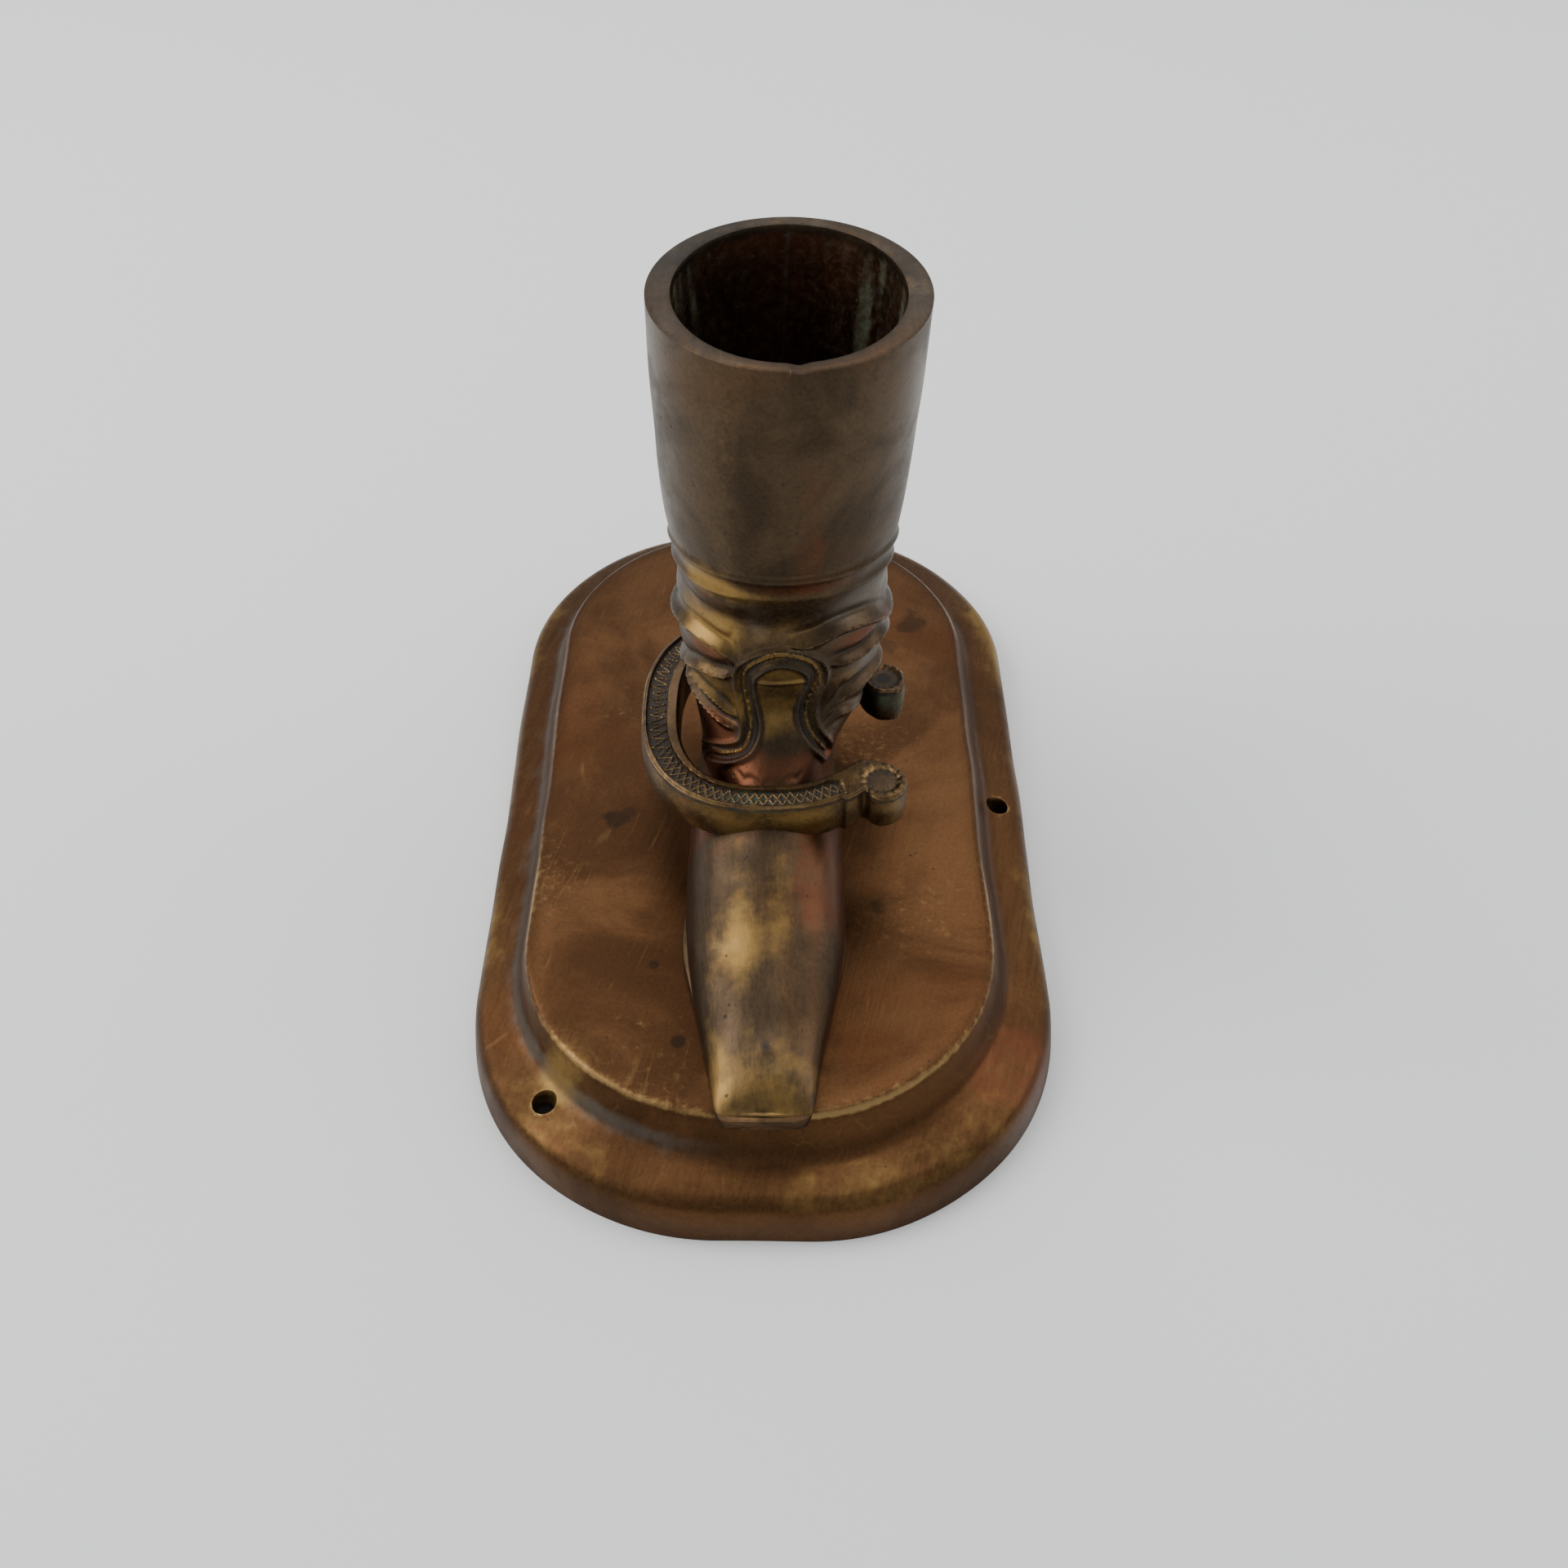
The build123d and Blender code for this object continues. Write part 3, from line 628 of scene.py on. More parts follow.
# Folds as lines of (degrees round from the front, height), with depth and width of the crease
FOLDS = (
    (((-180, 60.5), (-140, 58), (-110, 56.5), (-95, 57), (-80, 57.9), (-62, 59.2), (-49, 59.8), (-29, 58.9),
      (-21, 56)), 0.75, 0.7),
    (((-180, 51), (-130, 48.5), (-100, 46.5), (-74, 48.9), (-49, 52), (-35, 52.8), (-23, 53.9)), 0.68, 0.6),
    (((-70, 48.8), (-62, 47.9), (-42, 46.6), (-25, 44.4)), 0.6, 0.45),
    (((-85, 45), (-58, 43.7), (-37, 42.4), (-23, 42.6)), 0.6, 0.45),
    (((5, 61.4), (19, 61.7), (32, 62.7), (47, 62), (60, 60.5), (75, 58.3), (95, 57), (110, 56.5), (140, 58),
      (180, 60.5)), 0.75, 0.7),
    (((28, 55.8), (47, 55.1), (64, 55.4), (90, 53), (110, 51), (135, 49.5), (180, 51)), 0.68, 0.6),
    (((30, 42.8), (36, 45), (41, 46.9), (50, 47.4), (62, 47.5), (95, 47)), 0.65, 0.5),
    (((35, 41.5), (44, 42.9), (64, 41.2), (85, 40)), 0.55, 0.5),
)
# Middle line of the rolled edge that frames the tongue, from the left ankle over the arch to the right
TONGUE_ROLL = ((-10.2, -11.1, 33.5), (-8.6, -14.6, 36.2), (-5.9, -17.6, 38.7), (-3.3, -17.9, 40.4),
               (-2.1, -16.1, 43), (-2.4, -15.2, 46), (-3.1, -15.2, 51), (-2.8, -15.4, 55.1),
               (-0.4, -16.1, 57.9), (2.8, -16.2, 59), (6.1, -15.7, 57.9), (8.3, -15, 55.4),
               (8.5, -14.7, 52.6), (7.6, -14.8, 49.5), (6.9, -14.8, 46), (7.5, -15.4, 42.6),
               (8.9, -16.1, 40.3), (10.5, -15.3, 37.3))

# Across the rolled edge: height, place and width of its beads and grooves, outside the arch positive
ROLL_PROFILE = ((0.60, 0.85, 0.42), (0.45, -0.45, 0.55), (-0.10, 0.25, 0.22), (-0.45, 1.7, 0.45),
                (-0.60, -1.55, 0.48))
# Soft areas on the shaft: degrees round from the front, height, half widths in degrees and mm, strength
HOLLOWS = ((-42, 68.4, 20, 1.9, 0.75), (-44, 56.6, 18, 1.6, 0.35), (55, 58.6, 20, 1.8, 0.35))
RED_AREAS = ((-44, 56.8, 17, 1.8, 1), (52, 59, 24, 2, 1), (-40, 41, 20, 3, 0.9), (8, 73.6, 34, 1.3, 0.7),
             (-40, 69, 12, 1.2, 0.5), (14, 84, 9, 14, 0.35))
GOLD_AREAS = ((-42, 62.5, 24, 4, 1), (-46, 50, 24, 3.6, 0.6), (-42, 72.5, 22, 2.2, 0.9),
              (10, 64, 12, 4, 0.35), (-25, 46.5, 9, 3, 0.6), (40, 51, 12, 3, 0.5))
GREY_AREAS = ((38, 66.5, 16, 3.2, 0.9), (-15, 66, 8, 5, 0.5), (58, 52, 22, 3, 0.75))
CUFF_GOLD, GRIMY_HOLLOW = ((-27, 92, 5, 22, 0.42),), ((-42, 68.8, 15, 1.2, 0.8),)
# Folds that reach further round than this many degrees run on to the back
FOLD_END = 170
# Dimple over the toe rivet, on the upper side only
DIMPLE_X, DIMPLE_Y, DIMPLE_ABOVE = 0.4, -66, 19


def distance_to(line, points):
    """Distance from every point to the nearest of many short straight runs along a smooth line, negative on
    the line's right as seen from the front, which is inside the tongue's arch."""
    line = smooth_through(line, 90)
    flat = points.reshape(-1, 3)
    nearest, sign = np.full(len(flat), 1e9), np.ones(len(flat))
    for start, run in zip(line[:-1], np.diff(line, axis=0)):
        away = flat - start
        share = np.clip(away @ run / (run @ run), 0, 1)
        reach = np.linalg.norm(away - share[:, None] * run, axis=1)
        sign = np.where(reach < nearest, np.where(run[0] * away[:, 2] > run[2] * away[:, 0], 1, -1), sign)
        nearest = np.minimum(nearest, reach)
    return (nearest * sign).reshape(points.shape[:2])


def soft_areas(table, angle, z):
    """Sum of soft ovals on the shaft: degrees round from the front, height, half widths, strength."""
    return sum(strength * bell((angle - about) / half_angle, 1) * bell((z - height) / half_height, 1)
               for about, height, half_angle, half_height, strength in table)


def cuff_edge_height(angle):
    """Height of the cuff's lower edge: level round the sides and back, 4.5 mm higher in front."""
    ahead = np.cos(np.radians(angle))
    return 71.2 + 4.5 * ((ahead + np.sqrt(ahead ** 2 + 0.004)) / 2) ** 0.45


def boot_relief(points, angle):
    """How far the cast detail stands out of the plain boot, in millimetres: cuff, ring, slouch folds,
    rolled tongue edge, scallops over the horseshoe and the faint unevenness of the casting."""
    x, y, z = points[..., 0], points[..., 1], points[..., 2]
    edge = cuff_edge_height(angle)
    ring = edge - 4.2
    relief = 0.34 * ease(-0.7, 0.5, z - edge) - 0.16 * bell(z - edge + 0.6, 0.6)
    ring_show = 0.25 + 0.75 * np.maximum(ease(-12, -34, angle), ease(28, 62, angle))
    relief += ring_show * (0.34 * bell(z - ring - 1.8, 1.5) - 0.42 * bell(z - ring, 0.7))
    slouch = ease(76, 72, z) * ease(38, 44, z)
    relief += 0.55 * bell(z - 65.5, 3.2) * slouch
    relief -= soft_areas(HOLLOWS, angle, z)
    roll_distance = distance_to(TONGUE_ROLL, points)
    clear_of_roll = ease(1.5, 3, np.abs(roll_distance))
    for line, depth, width in FOLDS:
        depth, width = FOLD_DEEPER * depth, FOLD_WIDER * width
        line = smooth_through(line, 60)
        height = np.interp(angle, line[:, 0], line[:, 1])
        slope = np.interp(angle, line[:, 0], np.gradient(line[:, 1], line[:, 0])) / 0.3
        above = (z - height) / np.sqrt(1 + slope ** 2)
        first, last = line[0, 0], line[-1, 0]
        shown = np.ones_like(z)
        if first > -FOLD_END:
            shown = shown * ease(first - 4, first + 12, angle)
        if last < FOLD_END:
            shown = shown * ease(last + 4, last - 8, angle)
        crease = -depth * bell(above, width) + 0.5 * depth * bell(above - 2.1 * width, 1.5 * width)
        relief += crease * shown * clear_of_roll * slouch
    relief += sum(height * bell(roll_distance - at, width) for height, at, width in ROLL_PROFILE) * (y < 2)
    in_tongue = ease(-1.6, -2.2, roll_distance) * ease(4.6, 3.8, np.abs(x - 3)) * (y < 0)
    relief -= 0.25 * bell(z - 53.1 - 0.05 * (x - 3) ** 2 * 0.3, 0.3) * in_tongue
    scallop = 37.3 + 0.55 * np.abs(np.sin(x * 1.05 + 0.4))
    relief += 0.18 * bell(z - scallop, 0.35) * ease(-20, -21.5, y) * ease(-27, -25.5, y)
    crest = bell((np.abs(x - 0.6) - 5.2 - 0.12 * (-30 - y)) / 2.2, 1)
    relief += 0.13 * crest * ease(-27, -31, y) * ease(-48, -36, y)
    relief -= 0.30 * bell(np.hypot(x - DIMPLE_X, y - DIMPLE_Y) / 1.25, 1) * (z > DIMPLE_ABOVE)
    relief += 0.10 * ripple(x, y, z, 7, 4) * ease(80, 70, z) + 0.05 * ripple(x, y, z, 2.6, 5) * slouch
    relief += 0.10 * ripple(x, y, z, 16, 6)
    return relief


def grid_normals(grid, side):
    """Unit normals of an open grid of points, pointing out of the boot."""
    along = np.gradient(grid, axis=0)
    around = np.gradient(grid, axis=1)
    normal = np.cross(around, along) * side
    return normal / (np.linalg.norm(normal, axis=2, keepdims=True) + 1e-12)


def boot_inner(outer, side):
    """Inner side of each slice: the socket's wall where the shaft is hollow, and under its floor the
    straight line on the centre plane, so that the two castings meet flush and solid."""
    turn = np.pi * np.linspace(0, 1, SLICE_POINTS) ** 1.3
    height = outer[:, :1, 2]
    socket = np.array(SOCKET)
    mid_y, half_w, half_d = (np.interp(height, socket[:, 0], socket[:, k]) for k in (1, 2, 3))
    open_share = ease(44.5, 48.5, height)
    share = (1 - np.cos(turn)) / 2
    front, back = outer[:, :1], outer[:, -1:]
    solid = front + (back - front) * (0.04 + 0.92 * share[None, :, None])
    y = mid_y - half_d * np.cos(turn)
    hollow_y = y * open_share + solid[..., 1] * (1 - open_share)
    z = solid[..., 2]
    x = centre_plane_x(z) + side * half_w * open_share * np.sin(turn)
    return np.dstack([x, hollow_y, z])


def boot_half(name, side):
    """One closed casting: outer skin, inner skin, a rounded rim at the top and a flat face at the toe."""
    outer, angle = boot_outer(side)
    outer = outer + grid_normals(outer, side) * boot_relief(outer, angle)[..., None]
    for column in (0, -1):
        outer[:, column, 0] = centre_plane_x(outer[:, column, 2])
    inner = boot_inner(outer, side)
    rim_share = np.array([0.10, 0.25, 0.42, 0.58, 0.75, 0.90])[:, None, None]
    rim_nick = 0.35 * bell(outer[0, :, 0] - 5.2, 1.3) * (outer[0, :, 1] < -10)
    rim_rise = RIM_EDGE_DROP * (1 - (2 * rim_share[..., 0] - 1) ** 4) - RIM_EDGE_DROP
    rim = outer[0][None] + (inner[0] - outer[0])[None] * rim_share
    rim[..., 2] += rim_rise - rim_nick
    outer[0, :, 2] -= RIM_EDGE_DROP + rim_nick
    inner[0, :, 2] -= RIM_EDGE_DROP + rim_nick
    rim = np.vstack([outer[:1], rim, inner[:1]])
    toe_share = np.linspace(0, 1, 7)[:, None, None]
    toe = outer[-1][None] + (inner[-1] - outer[-1])[None] * toe_share
    toe[..., 1] -= 0.5 * (1 - (1 - toe_share[..., 0]) ** 3)
    inner[-1] = toe[-1]
    loop_gap_front = np.stack([inner[:, 0], outer[:, 0]], 1)
    loop_gap_back = np.stack([outer[:, -1], inner[:, -1]], 1)
    patches = [outer, inner, rim, toe, loop_gap_front, loop_gap_back]
    # Fans that close the crowned ends of the rim and the toe on the parting plane
    for strip in (rim, toe):
        patches += [np.stack([strip[:, column], np.broadcast_to(strip[0, column], strip[:, column].shape)])
                    for column in (0, -1)]
    return patch_mesh(name, [(patch, False, False) for patch in patches])


boot_meshes = {side: boot_half(name, side) for name, side in (("boot_left_cast", -1), ("boot_right_cast", 1))}


def boot_masks(mesh):
    """Where the upper has turned red, grey or golden: broad soft areas placed by the angle round the shaft
    and the height, and along the foot by the distance from the heel. The cuff is made greyer round its sides
    than at its front, a painted reflection."""
    x, y, z = vertex_positions(mesh).T
    angle = np.degrees(np.arctan2(x - 2.9, 0.8 - y))
    drift = ripple(x, y, z, 9, 9)
    shaft = ease(40, 44, z)
    cuff = ease(75, 78, z)
    roll = distance_to(TONGUE_ROLL, np.stack([x, y, z], -1)[None])[0]
    field = ease(-1.9, -2.5, roll) * (y < 0) * ease(40.5, 44, z) * (z < 60)
    field *= ease(5.5, 4.5, np.abs(x - 3))
    red = soft_areas(RED_AREAS, angle, z)
    red += ease(41.5, 39, z) * ease(-10, -15, y) * ease(-29, -26, y) * (0.75 + 0.4 * drift)
    gold = soft_areas(GOLD_AREAS, angle, z) + 0.5 * field
    in_ring = bell(z - cuff_edge_height(angle) + 4.2, 1.3) * bell(angle / 34, 1)
    gold += 0.5 * in_ring * (0.7 + 0.5 * drift)
    gold += soft_areas(CUFF_GOLD, angle, z) * (0.6 + 0.5 * drift)
    # Painted reflection: the cuff is made lighter grey round its sides and back than at its front
    grey = soft_areas(GREY_AREAS, angle, z) + cuff * 0.30 * ease(30, 90, np.abs(angle))
    gold += 0.45 * bell(roll - 0.4, 1) * (y < 2) * (z > 38)
    foot = ease(-24, -29, y)
    along_foot = ripple(x * 2.2, y * 0.25, z, 3.2, 7.7)
    gold += foot * (0.11 + 0.14 * along_foot - 0.14 * ease(-36, -27, y) - 0.10 * ease(2, 10, x))
    gold += foot * 0.80 * bell(np.hypot((x + 3.2) / 4.2, (y + 50) / 6.5), 1) * (0.75 + 0.6 * drift)
    gold += foot * 0.38 * ease(-60, -72, y) + 0.12 * ease(RIM_Z - 1.2, RIM_Z - 0.5, z) * (0.6 + drift)
    red += foot * (0.36 * ease(2, 7, x + drift * 3) + 0.18) * ease(-54, -40, y)
    inside = socket_share(x, y, z)
    round_socket = np.degrees(np.arctan2(x - centre_plane_x(z), y - 3))
    stripes = ripple(x * 2.6, y * 2.6, z * 0.22, 3.4, 11) + 0.5 * ripple(x * 2, y * 2, z * 0.5, 1.7, 3.1)
    seam = bell((x - centre_plane_x(z)) / 0.45, 1) * (y > 0) * inside
    brightened = 0.8 * bell(roll - 0.85, 0.32) * (y < 2) * (z > 36) * (0.55 + 0.4 * drift)
    grime = np.maximum(0.75 * bell(roll + 1.6, 0.28), 0.5 * bell(roll - 1.75, 0.26)) * (y < 2)
    grime = np.maximum(grime, inside * (0.05 - 0.10 * drift))
    grime = np.maximum(grime, soft_areas(GRIMY_HOLLOW, angle, z) * (0.6 + 0.8 * drift))
    grime = np.maximum(grime, 0.8 * bell(np.hypot(x - DIMPLE_X, y - DIMPLE_Y), 1) * (z > DIMPLE_ABOVE))
    green = inside * (0.22 + 0.34 * ease(-0.3, 1.5, stripes) * ease(14, 50, np.abs(round_socket)))
    inside_red = inside * (0.35 + 0.4 * bell(round_socket / 34, 1))
    limit = 1 - inside
    flush = ease(0.7, 2.2, np.abs(x - centre_plane_x(z))) * (1 - 0.7 * in_ring)
    grime = np.maximum(grime, 0.42 * ease(RIM_Z - 1.1, RIM_Z - 0.5, z) * (0.8 + 0.5 * drift))
    return {"red": red * limit + inside_red, "gold": gold * limit,
            "grey": np.maximum(grey * limit * shaft, 0.6 * seam), "wear": brightened * limit, "dirt": grime,
            "green": green, "open": np.where(z > RIM_Z - 1.5, 0.6, flush)}


def socket_share(x, y, z):
    """1 inside the open socket and 0 on the outer skin, from the socket's own ovals."""
    socket = np.array(SOCKET)
    mid_y, half_w, half_d = (np.interp(z, socket[:, 0], socket[:, k]) for k in (1, 2, 3))
    reach = np.hypot((x - centre_plane_x(z)) / half_w, (y - mid_y) / half_d)
    return ease(1.06, 1.02, reach) * ease(RIM_Z - 0.6, RIM_Z - 1.8, z) * (z > 44)


boot_brass = brass_finish("boot_brass_tarnished", light=(0.072, 0.047, 0.029), dark=(0.044, 0.030, 0.020),
                          patch=(0.082, 0.042, 0.021), patch_share=0.5, cloud_size=55, rough=(0.34, 0.47),
                          brushing=0.035, pit_share=0.11, grain=0.28, hairlines=0)
for side, name, node in ((-1, "boot_left_cast", "boot_left_half"), (1, "boot_right_cast", "boot_right_half")):
    mesh = boot_meshes[side]
    finish_piece(name, mesh, boot_brass, "boot_brass", node, masks=boot_masks(mesh), rounds=2,
                 wear=(0.24, 1), dirt=(0.12, 0.5))

# --------------------
# Sole: one thin brass sole from the square toe, flat under the ball, arched at the waist, to the heel seat.
# It lies between the upper and the heel and is held by the same stud and rivet.
# --------------------
SOLE_THICKNESS = 2.2
# Half widths of the sole by distance along the boot
SOLE_HALF = ((-76.7, 5.4), (-76.3, 6.5), (-75.4, 7.1), (-74.2, 7.4), (-68, 8.5), (-56.5, 10.9), (-44, 13.5),
             (-35, 13.3), (-20, 10.4), (-8, 9.4), (3, 10.3))
HEEL_ARC_Y, HEEL_ARC_R = 2.6, 10.3
HEEL_TOP, HEEL_BREAST_Y = 22, -9


def sole_half_width(y):
    """Half width at y: a smooth line through the waist and ball, then the heel's quarter circle."""
    line = smooth_through(SOLE_HALF, 200)
    sides = np.interp(y, line[:, 0], line[:, 1])
    heel = np.sqrt(np.maximum(HEEL_ARC_R ** 2 - (y - HEEL_ARC_Y) ** 2, 0))
    return np.where(y > HEEL_ARC_Y, heel, sides)


def sole_underside(y):
    """Height of the sole's underside: on the plateau at the ball, up to the heel at the waist, toe lifted."""
    waist = base_high[2] + (HEEL_TOP - base_high[2]) * ease(-36, -7, y)
    return waist + 1.1 * ease(-60, -78, y)


def slab_loops(y, half_width, low, high, edge):
    """Bar section across the boot at each y: top, right edge, bottom, left edge, with round corners."""
    corner = np.linspace(0, np.pi / 2, 5)
    across = np.concatenate([np.cos(corner), -np.sin(corner), -np.cos(corner), np.sin(corner)])
    upward = np.concatenate([np.sin(corner), np.cos(corner), -np.sin(corner), -np.cos(corner)])
    sign_x, sign_z = np.repeat([1, -1, -1, 1], 5), np.repeat([1, 1, -1, -1], 5)
    half_width = half_width[:, None]
    inner_w = np.maximum(half_width - edge, 0)
    half_h = (high - low)[:, None] / 2
    x = sign_x * inner_w + np.minimum(edge, half_width) * across
    z = (high + low)[:, None] / 2 + sign_z * (half_h - edge) + edge * upward
    return np.dstack([x, np.broadcast_to(y[:, None], x.shape), z])


def closed_ends(grid):
    """The grid with a first and last row drawn together to their middle points, which close it."""
    first = np.broadcast_to(grid[:1].mean(axis=1, keepdims=True), grid[:1].shape)
    last = np.broadcast_to(grid[-1:].mean(axis=1, keepdims=True), grid[-1:].shape)
    return np.vstack([first, grid, last])


sole_y = np.concatenate([[-76.62, -76.5, -76.2], np.linspace(-75.8, 9, 150),
                         12.85 - 3.85 * np.linspace(1, 0, 22)[1:] ** 2])
sole_grid = slab_loops(sole_y, sole_half_width(sole_y), sole_underside(sole_y),
                       sole_underside(sole_y) + SOLE_THICKNESS - 0.02, 0.55)
sole_grid[..., 0] += LEAN_FOOT_X
sole_grid[..., 0] += 0.06 * ripple(*np.moveaxis(sole_grid, -1, 0), 4, 8)
sole_mesh = patch_mesh("sole_cast", [(closed_ends(sole_grid), True, False)])
sole_holes = [turned("stud_hole", ((stud_r, 15), (stud_r, 30)), stud_x, stud_y),
              turned("rivet_hole", ((RIVET_SHANK_R, 14), (RIVET_SHANK_R, 24)), rivet_x, rivet_y)]
sole_mesh = cut_away(sole_mesh, sole_holes)
sole_brass = brass_finish("sole_brass_tarnished", light=(0.095, 0.060, 0.032), dark=(0.050, 0.032, 0.019),
                          patch=(0.120, 0.055, 0.026), cloud_size=90, rough=(0.34, 0.5), brushing=0.08)
finish_piece("boot_sole_cast", sole_mesh, sole_brass, "sole_brass", "boot_sole", wear=(0.6, 2))

# --------------------
# Heel: a low block under the sole's rear end, cast with the lines of its lifts and bored for the stud.
# Its back follows the sole's round end and its front is straight.
# --------------------
HEEL_ROWS = ((16, 0.35), (16.3, 0.1), (17.6, 0), (17.9, 0), (18.05, 0.3), (18.2, 0), (19.8, 0.1),
             (19.95, 0.4), (20.1, 0.1), (21.6, 0.2), (22, 0.3))


def heel_outline(inset):
    """Straight breast, two slightly tapering sides and a half round back."""
    radius = HEEL_ARC_R - inset
    back = np.linspace(0, np.pi, 60)
    round_x, round_y = radius * np.cos(back), HEEL_ARC_Y + radius * np.sin(back)
    breast_half = 9.5 - inset
    down = np.linspace(0, 1, 12)[1:]
    left_x = -radius + (radius - breast_half) * down
    left_y = HEEL_ARC_Y + (HEEL_BREAST_Y + inset - HEEL_ARC_Y) * down
    across = np.linspace(-breast_half, breast_half, 18)[1:]
    x = np.concatenate([round_x, left_x, across, -left_x[::-1][1:]])
    y = np.concatenate([round_y, left_y, np.full(17, HEEL_BREAST_Y + inset), left_y[::-1][1:]])
    return np.stack([x + LEAN_FOOT_X, y], -1)


heel_plan = np.stack([heel_outline(inset) for _, inset in HEEL_ROWS])
heel_heights = np.array([height for height, _ in HEEL_ROWS])
heel_grid = np.dstack([heel_plan, np.broadcast_to(heel_heights[:, None], heel_plan.shape[:2])])
heel_mesh = patch_mesh("heel_cast", [(closed_ends(heel_grid), True, False)])
heel_mesh = cut_away(heel_mesh, [turned("stud_hole", ((stud_r, 14), (stud_r, 24)), stud_x, stud_y)])
finish_piece("boot_heel_cast", heel_mesh, sole_brass, "sole_brass", "boot_heel")

# --------------------
# Horseshoe: a flat cast shoe lying round the ankle, open to the right, with curled and dished tips. A band of
# chased chevrons is sunk in its upper face; two hidden pins hold it to the boot.
# --------------------
shoe_low, shoe_high = cad_box("horseshoe")
SHOE_CENTRE = (0.6, -4.6)
# Half widths and power of the shoe's outer and inner superellipse
SHOE_OUTER, SHOE_INNER = ((21.9, 24.7), 2.4), ((15.4, 19.3), 2.7)
# Outer edge and inner edge across the branch towards each tip: outer x, outer y, inner x, inner y
REAR_TIP = ((23.9, -0.5, 23.2, -0.9), (24.5, 0.6, 21.6, -1.2), (24.8, 2.6, 19.9, -1.1), (24.4, 4.6, 18.5, 0),
            (23, 6, 17.6, 1.4), (21.3, 6.4, 17.1, 2.8), (20.4, 7, 16.6, 4.2), (20.5, 8.3, 15.8, 5.8),
            (19.9, 10.3, 14.9, 7.6))
FRONT_TIP = ((13.8, -26.9, 12.8, -20.5), (15.4, -25.9, 14.3, -19.3), (16.5, -25, 15.3, -18.4),
             (17.2, -25.2, 16.2, -17.8), (17.9, -26.4, 17.3, -17.7), (19.4, -27.2, 18.8, -18),
             (21.5, -26.7, 20.9, -18.6), (23.1, -25.2, 22.6, -19.8), (23.8, -23.6, 23.7, -21.7))
TIP_CENTRES = ((21.1, 2.6), (19.7, -22.6))
BAND_INSET, BAND_WIDTH, BAND_DEPTH = 0.85, 3.5, 0.8
SHOE_ROWS, SHOE_TOP_POINTS = 620, 64


def superellipse(half, power, turn):
    """Point at an angle on the curve |x/a|^n + |y/b|^n = 1 about the shoe's centre."""
    c, s = np.cos(turn), np.sin(turn)
    reach = (np.abs(c / half[0]) ** power + np.abs(s / half[1]) ** power) ** (-1 / power)
    return np.stack([SHOE_CENTRE[0] + reach * c, SHOE_CENTRE[1] + reach * s], -1)


def shoe_edges():
    """Pairs of outer and inner edge points from the rear tip round the left side to the front tip,
    spaced evenly along the middle of the branch."""
    turn = np.radians(np.linspace(42, 299, 60))
    bend = np.hstack([superellipse(half, power, turn) for half, power in (SHOE_OUTER, SHOE_INNER)])
    pairs = smooth_through(np.vstack([REAR_TIP, bend, FRONT_TIP]), FINE_SAMPLES)
    middle = (pairs[:, :2] + pairs[:, 2:]) / 2
    along = np.concatenate([[0], np.cumsum(np.linalg.norm(np.diff(middle, axis=0), axis=1))])
    at = np.linspace(0, along[-1], SHOE_ROWS)
    return np.stack([np.interp(at, along, column) for column in pairs.T], -1), at


def chased_band(along, across, band, width):
    """Height in the sunk band: crossing raised strokes about every 1.7 mm on the left branch that turn
    into wider leaf marks about every 3 mm in front, each stroke a rounded ridge."""
    front = ease(0.56, 0.66, along / along.max())
    pitch = 1.7 * (1 - front) + 3 * front
    phase = np.cumsum(np.gradient(along[:, 0]) / pitch[:, 0])[:, None]
    middle = (across - band[0] - width / 2) / (width / 2)
    zigzag = 2 * np.abs((phase % 1) - 0.5) * 2 - 1
    uneven = 0.75 + 0.18 * np.sin(along * 1.7 + 0.6) * np.sin(along * 0.53)
    first = bell((middle - uneven * zigzag) * width / 2, 0.40)
    second = bell((middle + uneven * zigzag) * width / 2, 0.40) * front
    fine = 0.5 * bell(((phase * 2) % 1 - 0.5) * 1.1, 0.3) * (1 - front)
    return 0.36 * np.maximum(first, second) + 0.15 * fine


